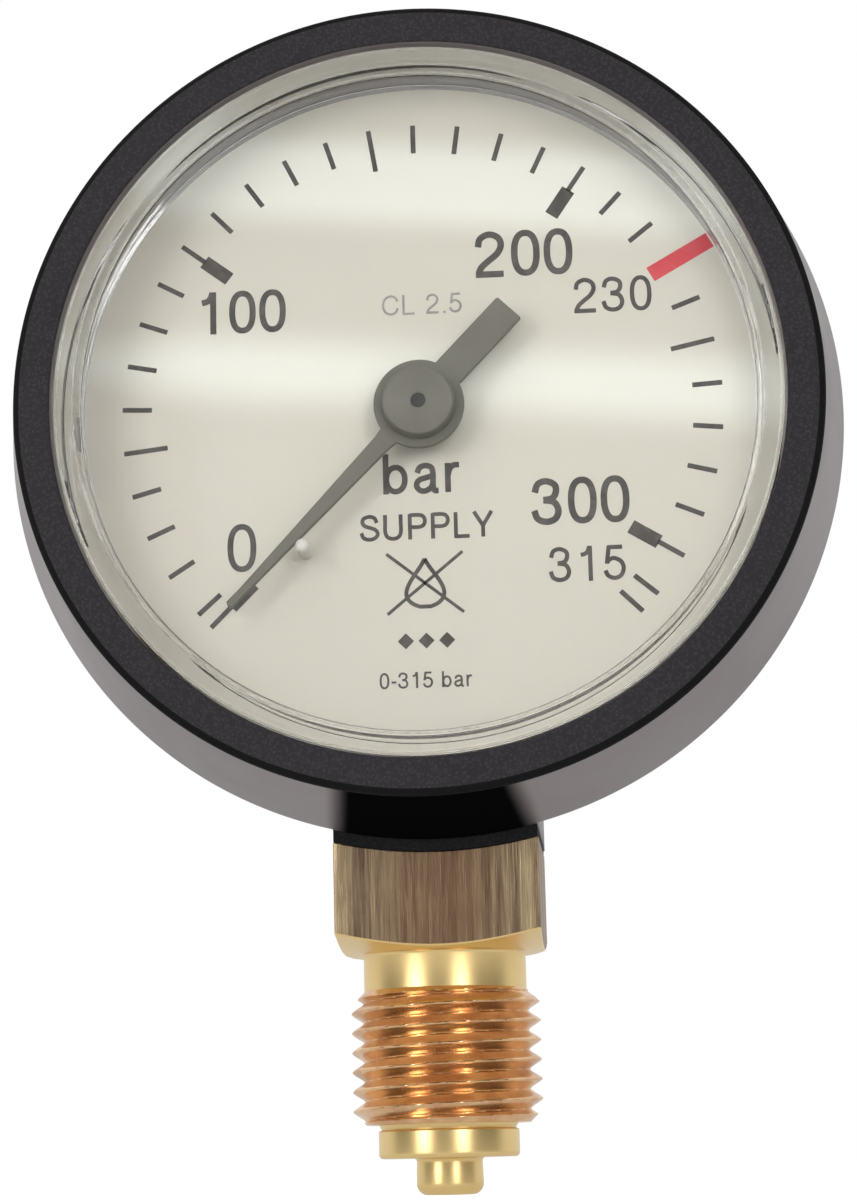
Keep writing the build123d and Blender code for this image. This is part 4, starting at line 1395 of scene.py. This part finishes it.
@dataclass
class Dial:
    """The dial's printed scale, figures, words and signs, and the pins and plate around them."""

    places: Places
    ink_lift: float = 0.00002
    tick_outer: float = 0.0207
    tick_inner: float = 0.01865
    long_inner: float = 0.01765
    block_inner: float = 0.01655
    tick_width: float = 0.00034
    block_width: float = 0.00098
    zero_angle: float = 225.0
    scale_start_angle: float = 229.75
    degrees_per_bar: float = 0.872
    first_division_angle: float = 221.5
    red_pressure: float = 230.0
    red_inner: float = 0.01845
    red_outer: float = 0.02322
    red_width: float = 0.00112
    full_scale: float = 315.0
    drop_up: float = -0.0121
    drop_height: float = 0.0034
    drop_half: float = 0.00125
    drop_stroke: float = 0.00028
    cross_reach: tuple[float, float] = (0.0026, 0.0021)
    cross_stroke: float = 0.00022
    lozenge_up: float = -0.01608
    lozenge_step: float = 0.0014
    lozenge_half: float = 0.00055
    words: list[Label] = field(default_factory=lambda: [
        Label("0", -0.01248, -0.00917, 0.00337, 0.12),
        Label("100", -0.01226, 0.00763, 0.00305),
        Label("200", 0.00731, 0.01099, 0.00328),
        Label("230", 0.01337, 0.00772, 0.00253, 0.12),
        Label("300", 0.01069, -0.00677, 0.00322),
        Label("315", 0.011, -0.01119, 0.00243, 0.12),
        Label("bar", 0.00001, -0.00441, 0.00283),
        Label("SUPPLY", 0.00019, -0.00815, 0.00178, 0.15),
        Label("0-315 bar", -0.00008, -0.01876, 0.0011, 0.13),
    ])
    class_mark: Label = Label("CL 2.5", 0.00025, 0.00762, 0.00145, 0.11)

    def pressure_angle(self, pressure: float) -> float:
        """The scale's angle at a pressure in bar.

        The scale is even from 20 bar up; below that the zero and the first division are drawn in.

        Args:
            pressure: The pressure in bar.

        Returns:
            The angle in degrees.
        """
        if pressure <= 0:
            return self.zero_angle
        if pressure <= 10:
            return self.first_division_angle
        return self.scale_start_angle - self.degrees_per_bar * pressure

    def bar_outline(self, angle: float, inner: float, outer: float, width: float) -> Array:
        """The four corners of a radial bar, in the dial's plane.

        Args:
            angle: The bar's angle in degrees.
            inner: The bar's inner radius.
            outer: The bar's outer radius.
            width: The bar's width.

        Returns:
            The corners, one row each.
        """
        turn = math.radians(angle)
        along = np.array([math.cos(turn), math.sin(turn)])
        side = np.array([-along[1], along[0]]) * width / 2
        return np.array([inner * along - side, outer * along - side,
                         outer * along + side, inner * along + side])

    def depths(self, lift: float = 0.0) -> tuple[float, float]:
        """The back and front depth of an ink layer, which bites a little into the dial.

        Args:
            lift: How much higher than the ink the layer stands.

        Returns:
            The back and the front depth.
        """
        back = self.places.dial_front + self.ink_lift / 4
        return back, self.places.dial_front - self.ink_lift - lift

    def scale(self) -> None:
        """The tick at every 10 bar, longer at 50s, with a block inside each 100, and 315."""
        patch = Patch()
        back, front = self.depths()
        for pressure in [*range(0, 311, 10), self.full_scale]:
            if pressure == self.red_pressure:
                continue
            angle = self.pressure_angle(pressure)
            inner = self.long_inner if pressure % 100 == 50 else self.tick_inner
            outline = self.bar_outline(angle, inner, self.tick_outer, self.tick_width)
            slab(patch, self.places, outline, back, front)
            if pressure % 100 == 0:
                block = self.bar_outline(angle, self.block_inner, self.tick_inner + 0.0001,
                                         self.block_width)
                slab(patch, self.places, block, back, front)
        patch.piece("dial_scale", [INK_GREY.material()], "housing", "pointer_black", 60.0)
        patch = Patch()
        outline = self.bar_outline(self.pressure_angle(self.red_pressure), self.red_inner,
                                   self.red_outer, self.red_width)
        slab(patch, self.places, outline, back, front)
        patch.piece("dial_red_mark", [INK_RED.material()], "housing", None, 60.0)

    def write(self, patch: Patch, label: Label) -> None:
        """Write a label in strokes, with the middle of its ink on the label's place.

        Args:
            patch: The surface that the strokes join.
            label: What is written and where.
        """
        back, front = self.depths()
        runs: list[tuple[Array, bool]] = []
        pen = 0.0
        for character in label.text:
            glyph = GLYPHS[character]
            shift = np.array([pen, 0.0])
            runs += [(path + shift, False) for path in glyph.strokes]
            runs += [(path + shift, True) for path in glyph.loops]
            pen += glyph.advance
        ink = np.concatenate([path for path, _ in runs])
        middle = np.array([(ink[:, 0].min() + ink[:, 0].max()) / 2, 0.5])
        place = np.array([label.across, label.up])
        for number, (path, loop) in enumerate(runs):
            lift = self.ink_lift * 0.02 * (number % 5)
            ribbon(patch, self.places, (path - middle) * label.height + place,
                   label.weight * label.height, back, front - lift, loop)

    def lettering(self) -> None:
        """The figures and words in dark ink, and the accuracy class in pale ink."""
        patch = Patch()
        for label in self.words:
            self.write(patch, label)
        patch.piece("dial_lettering", [INK_GREY.material()], "housing", "pointer_black", 60.0)
        patch = Patch()
        self.write(patch, self.class_mark)
        patch.piece("dial_class_mark", [INK_PALE.material()], "housing", "pointer_black", 60.0)

    def signs(self) -> None:
        """A crossed-out drop, for keeping oil away, and a row of three plain lozenges.

        The drop's half width at a share t of its height is a sine of t pinched by its root.
        """
        patch = Patch()
        back, front = self.depths()
        share = np.linspace(0.02, 0.98, 24)
        half = self.drop_half * np.sin(math.pi * share**0.62) * (1 - share) ** 0.22 * 1.12
        rise = self.drop_up - self.drop_height / 2 + self.drop_height * share
        outline = np.concatenate([np.stack([half, rise], -1), np.stack([-half, rise], -1)[::-1]])
        ribbon(patch, self.places, outline, self.drop_stroke, back, front, True)
        reach_across, reach_up = self.cross_reach
        for side in (-1, 1):
            path = np.array([(-reach_across * side, self.drop_up - reach_up),
                             (reach_across * side, self.drop_up + reach_up)])
            ribbon(patch, self.places, path, self.cross_stroke, back,
                   front - 0.05 * self.ink_lift)
        for middle in (-self.lozenge_step, 0.0, self.lozenge_step):
            tile = oval((middle, self.lozenge_up), self.lozenge_half, self.lozenge_half, 1.0, 4)
            slab(patch, self.places, tile, back, front)
        patch.piece("dial_signs", [INK_GREY.material()], "housing", "pointer_black", 60.0)

    def build(self) -> None:
        """Print the dial and dress the plate and the stop pin."""
        self.scale()
        self.lettering()
        self.signs()
        dress_node("dial", DIAL_SILVER)
        dress_node("stop_pin", PIN_PALE)


# =========================================================================================
# Pointer
# =========================================================================================
@dataclass
class Pointer:
    """The pointer: stamped blade with its counterweight, and the hub that grips the shaft."""

    places: Places
    rest_angle: float = 225.8
    reach: float = 0.01895
    tip_half: float = 0.00025
    root_half: float = 0.00074
    disc_radius: float = 0.0031
    tail_reach: float = 0.0091
    tail_half: float = 0.00112
    edge: float = 0.00008
    bore: float = 0.0005

    def blade(self) -> bpy.types.Object:
        """The blade: a rounded section whose half width is a function of the distance.

        The half width is the tail's or the needle's straight taper, or the round middle where
        that is wider: the square root of its radius squared less the distance squared.

        Returns:
            The blade.
        """
        joint = math.sqrt(self.disc_radius**2 - self.root_half**2)
        tail_joint = -math.sqrt(self.disc_radius**2 - self.tail_half**2)
        sweep = np.linspace(math.pi - math.asin(self.tail_half / self.disc_radius),
                            math.asin(self.root_half / self.disc_radius), 40)
        along = np.concatenate([
            [-self.tail_reach, -self.tail_reach + self.edge, tail_joint],
            self.disc_radius * np.cos(sweep)[1:-1],
            np.linspace(joint, self.reach - self.tip_half, 24),
            self.reach - self.tip_half * (1 - np.sin(np.linspace(0.25, 1.45, 6))),
        ])
        taper = self.root_half + (self.tip_half - self.root_half) * along / self.reach
        tail = np.where(along < 0, self.tail_half, taper)
        middle = np.sqrt(np.maximum(self.disc_radius**2 - along**2, 0.0))
        half = np.maximum(tail, middle)
        near_tip = np.clip((self.reach - along) / self.tip_half, 0.0, 1.0)
        half = half * np.sqrt(1 - (1 - near_tip) ** 2 * 0.96)
        half[0] -= self.edge
        front, back = self.places.blade_front, self.places.blade_back
        depth = np.array([front + self.edge, front, front, front + self.edge,
                          back - self.edge, back, back, back - self.edge])
        side = np.array([-1.0, -1.0, 1.0, 1.0, 1.0, 1.0, -1.0, -1.0])
        inset = np.array([0.0, 1.0, 1.0, 0.0, 0.0, 1.0, 1.0, 0.0]) * self.edge
        width = side[None] * (half[:, None] - inset[None])
        turn = math.radians(self.rest_angle)
        across = along[:, None] * math.cos(turn) - width * math.sin(turn)
        up = along[:, None] * math.sin(turn) + width * math.cos(turn)
        points = np.stack([across, np.broadcast_to(depth, across.shape),
                           self.places.axis_z + up], axis=-1)
        patch = Patch()
        patch.grid(points, False, True, True)
        piece = patch.piece("pointer_needle", [POINTER_GREY.material()], "pointer",
                            "pointer_black", 25.0)
        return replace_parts(piece, "pointer_blade")

    def hub(self) -> bpy.types.Object:
        """The hub: a low cap with a dished face, a skirt and a bush through the blade.

        Returns:
            The hub.
        """
        front, back, edge = self.places.hub_front, self.places.hub_back, self.places.hub_radius
        seat = self.places.blade_front
        corners = [
            (self.bore, back),
            (self.bore, front + 0.00018),
            (0.0007, front + 0.00012),
            (0.0019, front + 0.00006),
            (0.0021, front),
            (edge - 0.00012, front),
            (edge, seat),
            (0.001, seat),
            (0.001, back),
        ]
        radii = [0.0, 0.00006, 0.0, 0.0, 0.00005, 0.00022, 0.00005, 0.0, 0.00005]
        patch = Patch()
        lathe(patch, self.places, TurnAxis.CASE, rounded(corners, radii, True, 6), 96, True)
        piece = patch.piece("pointer_cap", [POINTER_GREY.material()], "pointer", "pointer_black")
        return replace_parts(piece, "pointer_hub")

    def build(self) -> None:
        """Build the pointer and dress its shaft and collet."""
        self.blade()
        self.hub()
        dress_node("pinion_arbor", SHAFT_DARK)
        dress_node("hairspring_collet", BRASS_MOVEMENT)


# =========================================================================================
# Stem
# =========================================================================================
@dataclass
class Stem:
    """The brass socket: thread, wrench block and neck outside, foot and carrier inside."""

    places: Places
    shoulder_radius: float = 0.0066
    chamfer_slope: float = math.tan(math.radians(18.0))
    saddle_radius: float = 0.0299
    neck_radius: float = 0.0055
    neck_top: float = 0.0115
    undercut_radius: float = 0.00565
    undercut_length: float = 0.0025
    thread_radius: float = 0.0065785
    thread_pitch: float = 0.001337
    thread_depth: float = 0.000856
    thread_length: float = 0.0091
    thread_chamfer: float = 0.0009
    relief_radius: float = 0.0046
    relief_length: float = 0.0004
    nose_radius: float = 0.00485
    nose_length: float = 0.0019
    spigot_radius: float = 0.00235
    spigot_round: float = 0.001
    carrier_half: float = 0.0045
    carrier_front: float = 0.001
    carrier_back: float = 0.008
    carrier_top: float = 0.005
    foot_half: float = 0.0054
    foot_front: float = -0.0054
    foot_bottom: float = -0.0252
    foot_height: float = 0.0044
    columns: int = 256
    gathering: float = 0.15
    corner_power: float = 90.0
    block_bevel: float = 0.00009
    undercut_fillet: float = 0.00025
    thread_rows: int = 196

    def angles(self) -> Array:
        """Angles round the stem, gathered towards the block's corners.

        Each is an even step plus a share of the sine of four times itself.

        Returns:
            The angles, in order.
        """
        even = np.arange(self.columns) * TURN / self.columns
        return even + self.gathering * np.sin(4 * even)

    def block_radius(self, angle: Array) -> Array:
        """The square block's radius at an angle: half its width over the 90-norm of the cosine
        and sine, which rounds its corners slightly.

        Args:
            angle: The angles round the stem axis.

        Returns:
            The radii.
        """
        power = self.corner_power
        norm = (np.abs(np.cos(angle)) ** power + np.abs(np.sin(angle)) ** power) ** (1 / power)
        return self.places.block_half / norm

    def thread(self, angle: Array, height: Array) -> Array:
        """The threaded stretch's radius at an angle and a height.

        A right-hand ridge: its place in the pitch is the height less the angle's share of a turn,
        and its height is the mean of a straight flank and a cosine, kept inside the two end
        chamfers.

        Args:
            angle: The angles, as a row.
            height: The heights, as a column.

        Returns:
            The radii.
        """
        place = (height / self.thread_pitch - angle / TURN) % 1.0
        slope = 1.0 - np.abs(2 * place - 1)
        ridge = 0.5 * slope + 0.25 * (1 - np.cos(math.pi * slope))
        radius = self.thread_radius - self.thread_depth * (1 - ridge)
        top = -self.undercut_length
        bottom = top - self.thread_length
        lead_in = self.undercut_radius + (top - height)
        lead_out = self.thread_radius - self.thread_chamfer + (height - bottom)
        return np.minimum(radius, np.minimum(lead_in, lead_out))

    def rows(self, angle: Array) -> tuple[Array, Array, Array]:
        """The stem's radius, height and finish, row by row from the neck down to the spigot.

        Args:
            angle: The angles round the stem.

        Returns:
            The radii and heights as grids, and the finish of each row: 0 turned, 1 the block's
            drawn sides, 2 the thread.
        """
        block = self.block_radius(angle)

        def saddle(radius: Array) -> Array:
            """The saddle's height: the case axis less the root of its radius squared less x
            squared.

            Args:
                radius: The radii.

            Returns:
                The heights.
            """
            across = radius * np.cos(angle)
            return self.places.axis_z - np.sqrt(self.saddle_radius**2 - across**2)

        chamfer = (block - self.shoulder_radius) * self.chamfer_slope
        flat = np.ones_like(angle)
        bevel = self.block_bevel
        rows: list[tuple[Array, Array, int]] = [
            (self.neck_radius * flat, self.neck_top * flat, 0),
            (self.neck_radius * flat, saddle(self.neck_radius * flat), 0),
            (block - bevel, saddle(block - bevel), 1),
            (block, saddle(block) - bevel, 1),
            (block, chamfer + bevel, 0),
            (block - bevel, chamfer - bevel * self.chamfer_slope, 0),
            (flat * (self.shoulder_radius + bevel), bevel * self.chamfer_slope * flat, 0),
            (flat * (self.shoulder_radius - bevel), 0.0 * flat, 0),
        ]
        fillet = self.undercut_fillet
        for turn in np.linspace(0, math.pi / 2, 5):
            rows.append((flat * (self.undercut_radius + fillet * (1 - math.sin(turn))),
                         flat * -fillet * (1 - math.cos(turn)), 0))
        top = -self.undercut_length
        bottom = top - self.thread_length
        rows.append((self.undercut_radius * flat, (top + 0.0002) * flat, 0))
        for height in np.linspace(top, bottom, self.thread_rows):
            rows.append((self.thread(angle, np.full_like(angle, height)), height * flat, 2))
        nose_top = bottom - self.relief_length
        nose_bottom = nose_top - self.nose_length
        corners = [
            (self.relief_radius + 0.0002, bottom - 0.00002),
            (self.relief_radius, nose_top),
            (self.nose_radius, nose_top),
            (self.nose_radius, nose_bottom),
            (self.spigot_radius - 0.0001, nose_bottom),
            (self.spigot_radius, self.places.stem_bottom),
            (self.spigot_radius * 0.3, self.places.stem_bottom),
        ]
        radii = [0.0, 0.0001, 0.0002, 0.0003, 0.00025, self.spigot_round, 0.0]
        rows += [(radius * flat, height * flat, 0)
                 for radius, height in rounded(corners, radii, False, 7)]
        return (np.stack([row[0] for row in rows]), np.stack([row[1] for row in rows]),
                np.array([row[2] for row in rows]))

    def outside(self) -> bpy.types.Object:
        """The neck, block, thread, nose and spigot as one surface round the stem axis.

        Returns:
            The stem.
        """
        angle = self.angles()
        radius, height, finish = self.rows(angle)
        patch = Patch()
        points = turned(self.places, TurnAxis.STEM, radius, height, angle[None])
        patch.grid(points, False, True, True, finish)
        materials = [BRASS_TURNED.material(), BRASS_BLOCK.material(), BRASS_THREAD.material()]
        piece = patch.piece("stem_body", materials, "housing", "brass_turned")
        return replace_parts(piece, "socket")

    def inside(self) -> bpy.types.Object:
        """The foot and the carrier that hold the tube and the movement inside the case.

        Returns:
            The carrier.
        """
        patch = Patch()
        foot_top = self.foot_bottom + self.foot_height
        foot = rounded([(-self.foot_half, self.foot_bottom), (self.foot_half, self.foot_bottom),
                        (self.foot_half, foot_top), (-self.foot_half, foot_top)], [0.0004] * 4)
        slab(patch, self.places, foot, self.carrier_back, self.foot_front)
        upright = rounded([(-self.carrier_half, foot_top - 0.0001),
                           (self.carrier_half, foot_top - 0.0001),
                           (self.carrier_half, self.carrier_top),
                           (-self.carrier_half, self.carrier_top)], [0.0, 0.0, 0.0015, 0.0015])
        slab(patch, self.places, upright, self.carrier_back, self.carrier_front)
        return patch.piece("stem_carrier", [BRASS_TURNED.material()], "housing", "brass_turned")

    def build(self) -> None:
        """Build the stem and dress the restrictor in its bore."""
        self.outside()
        self.inside()
        dress_node("restrictor_screw", STEEL_BRIGHT)


# =========================================================================================
# Movement
# =========================================================================================
@dataclass
class Movement:
    """The Bourdon tube and the wheelwork behind the dial."""

    places: Places
    tube_width: float = 0.0032
    tube_thickness: float = 0.0016
    tube_wall: float = 0.00045
    coil_pitch: float = 0.004
    root_angle: float = -94.0
    section_power: float = 3.2
    round_steps: int = 24
    path_steps: int = 420

    def tube(self) -> bpy.types.Object:
        """The flattened tube: an oval section carried along a helix.

        A point of the helix is the coil's radius at an angle that falls evenly while the depth
        moves forward by one pitch a turn. The section's long side lies along the case axis.

        Returns:
            The tube.
        """
        start = self.places.coil_back - self.tube_width / 2
        end = self.places.coil_front + self.tube_width / 2
        coil_radius = self.places.coil_outer - self.tube_thickness / 2
        turns = (start - end) / self.coil_pitch
        share = np.linspace(0, 1, self.path_steps)[:, None]
        angle = math.radians(self.root_angle) - share * turns * TURN
        round_angle = np.arange(self.round_steps)[None] * TURN / self.round_steps
        patch = Patch()
        rings = []
        for inset in (0.0, self.tube_wall):
            section = oval((0.0, 0.0), self.tube_width / 2 - inset, self.tube_thickness / 2 - inset,
                           self.section_power, self.round_steps)
            radius = coil_radius + section[None, :, 1] + 0.0 * round_angle
            depth = start + (end - start) * share + section[None, :, 0]
            points = turned(self.places, TurnAxis.CASE, radius, depth, angle)
            if inset:
                points = points[:, ::-1]
            rings.append(patch.grid(points, False, True))
        outer, inner = rings[0], rings[1][:, ::-1]
        for row, flip in ((0, -1), (-1, 1)):
            for here in range(self.round_steps):
                there = (here + 1) % self.round_steps
                ring = [outer[row, here], outer[row, there], inner[row, there], inner[row, here]]
                patch.face([int(number) for number in ring[::flip]])
        piece = patch.piece("bourdon_coil", [TUBE_BRONZE.material()], None, "tube_bronze")
        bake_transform(piece)
        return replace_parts(piece, "bourdon_tube")

    def build(self) -> None:
        """Build the tube and dress the wheelwork."""
        self.tube()
        for node in ("tube_end_piece", "back_plate", "front_plate", "plate_pillars", "sector_gear",
                     "drive_link", "hairspring_stud"):
            dress_node(node, BRASS_MOVEMENT)
        for node in ("tip_pin", "tail_pin", "plate_screws", "movement_screws", "sector_arbor",
                     "hairspring"):
            dress_node(node, STEEL_BRIGHT)


# =========================================================================================
# Studio
# =========================================================================================
@dataclass(frozen=True)
class Softbox:
    """A rectangular studio light: its place, its size and its power in watts."""

    name: str
    place: Point
    size: tuple[float, float]
    power: float


@dataclass
class Studio:
    """The camera, the lights, the pale floor and the white surroundings."""

    places: Places
    camera_place: Point = (0.01244828, -0.19561387, -0.01490489)
    camera_yaw: float = 3.788
    camera_pitch: float = 11.589
    camera_roll: float = 1.439
    camera_lens: float = 83.82
    sensor_height: float = 36.0
    floor_size: float = 3.0
    floor_gap: float = 0.0001
    floor_glow: float = 0.5
    front_light: float = 0.11
    back_light: float = 0.85
    boxes: list[Softbox] = field(default_factory=lambda: [
        Softbox("left_box", (-0.38, -0.48, 0.12), (0.2, 0.42), 1.55),
        Softbox("right_box", (0.27, -0.56, 0.12), (0.18, 0.42), 1.35),
        Softbox("top_box", (-0.1, -0.25, 0.6), (0.5, 0.4), 0.9),
    ])

    def camera(self) -> None:
        """Aim the camera: yaw about Z, pitch up from the level, then roll about its own line."""
        yaw, pitch, roll = (math.radians(value) for value in
                            (self.camera_yaw, self.camera_pitch, self.camera_roll))
        ahead = Vector((-math.sin(yaw) * math.cos(pitch), math.cos(yaw) * math.cos(pitch),
                        math.sin(pitch)))
        level = Vector((math.cos(yaw), math.sin(yaw), 0.0))
        down = ahead.cross(level)
        right = math.cos(roll) * level + math.sin(roll) * down
        up = math.sin(roll) * level - math.cos(roll) * down
        turn = Matrix((right, up, -ahead)).transposed().to_4x4()
        lens = bpy.data.cameras.new("studio_camera")
        lens.sensor_fit = "VERTICAL"
        lens.sensor_height = self.sensor_height
        lens.lens = self.camera_lens
        lens.clip_start = 0.01
        lens.clip_end = 20.0
        item = bpy.data.objects.new("studio_camera", lens)
        bpy.context.scene.collection.objects.link(item)
        item.matrix_world = Matrix.Translation(self.camera_place) @ turn
        bpy.context.scene.camera = item

    def surroundings(self) -> None:
        """White behind the object and for the camera, a dimmer room in front of it."""
        world = bpy.data.worlds.new("studio_room")
        bpy.context.scene.world = world
        world.use_nodes = True
        graph = Graph(world.node_tree)
        place = graph.node("ShaderNodeTexCoord")
        split = graph.node("ShaderNodeSeparateXYZ", {0: place.outputs["Generated"]})
        behind = graph.spread(split.outputs["Y"], -0.1, 0.3, self.front_light, self.back_light)
        above = graph.spread(split.outputs["Z"], 0.35, 0.9, 0.0, 0.2)
        level = graph.math("ADD", behind, above)
        path = graph.node("ShaderNodeLightPath")
        seen = graph.math("MAXIMUM", level, path.outputs["Is Camera Ray"])
        shader = world.node_tree.nodes["Background"]
        shader.inputs["Color"].default_value = (1.0, 1.0, 1.0, 1.0)
        graph.tree.links.new(seen, shader.inputs["Strength"])

    def lights(self) -> None:
        """Hang the softboxes, each turned to face the middle of the dial."""
        target = Vector((0.0, 0.0, self.places.axis_z / 2))
        for box in self.boxes:
            lamp = bpy.data.lights.new(box.name, "AREA")
            lamp.shape = "RECTANGLE"
            lamp.size, lamp.size_y = box.size
            lamp.energy = box.power
            item = bpy.data.objects.new(box.name, lamp)
            bpy.context.scene.collection.objects.link(item)
            item.location = box.place
            item.rotation_euler = (target - item.location).to_track_quat("-Z", "Y").to_euler()

    def floor(self) -> None:
        """A pale floor just under the stem's end, which glows brightest for the camera."""
        half = self.floor_size / 2
        height = self.places.stem_bottom - self.floor_gap
        corners = [(-half, -half, height), (half, -half, height), (half, half, height),
                   (-half, half, height)]
        mesh = bpy.data.meshes.new("studio_floor")
        mesh.from_pydata(corners, [], [(0, 1, 2, 3)])
        material = bpy.data.materials.new("floor_white")
        material.use_nodes = True
        shader = material.node_tree.nodes["Principled BSDF"]
        shader.inputs["Base Color"].default_value = (0.3, 0.3, 0.3, 1.0)
        shader.inputs["Roughness"].default_value = 0.9
        shader.inputs["Specular IOR Level"].default_value = 0.1
        shader.inputs["Emission Color"].default_value = (1.0, 1.0, 1.0, 1.0)
        graph = Graph(material.node_tree)
        path = graph.node("ShaderNodeLightPath")
        glow = graph.math("MAXIMUM", path.outputs["Is Camera Ray"], self.floor_glow)
        graph.tree.links.new(glow, shader.inputs["Emission Strength"])
        mesh.materials.append(material)
        item = bpy.data.objects.new("studio_floor", mesh)
        bpy.context.scene.collection.objects.link(item)

    def build(self) -> None:
        """Set the studio up."""
        bpy.context.scene.view_settings.view_transform = "Standard"
        self.camera()
        self.surroundings()
        self.lights()
        self.floor()


def main() -> None:
    """Build the gauge piece by piece."""
    logging.basicConfig(level=logging.INFO, format="%(name)s: %(message)s")
    places = Places.read()
    for part in (Studio(places), Case(places), Window(places), Dial(places), Pointer(places),
                 Stem(places), Movement(places)):
        log.info("building %s", type(part).__name__)
        part.build()


if __name__ == "__main__":
    main()
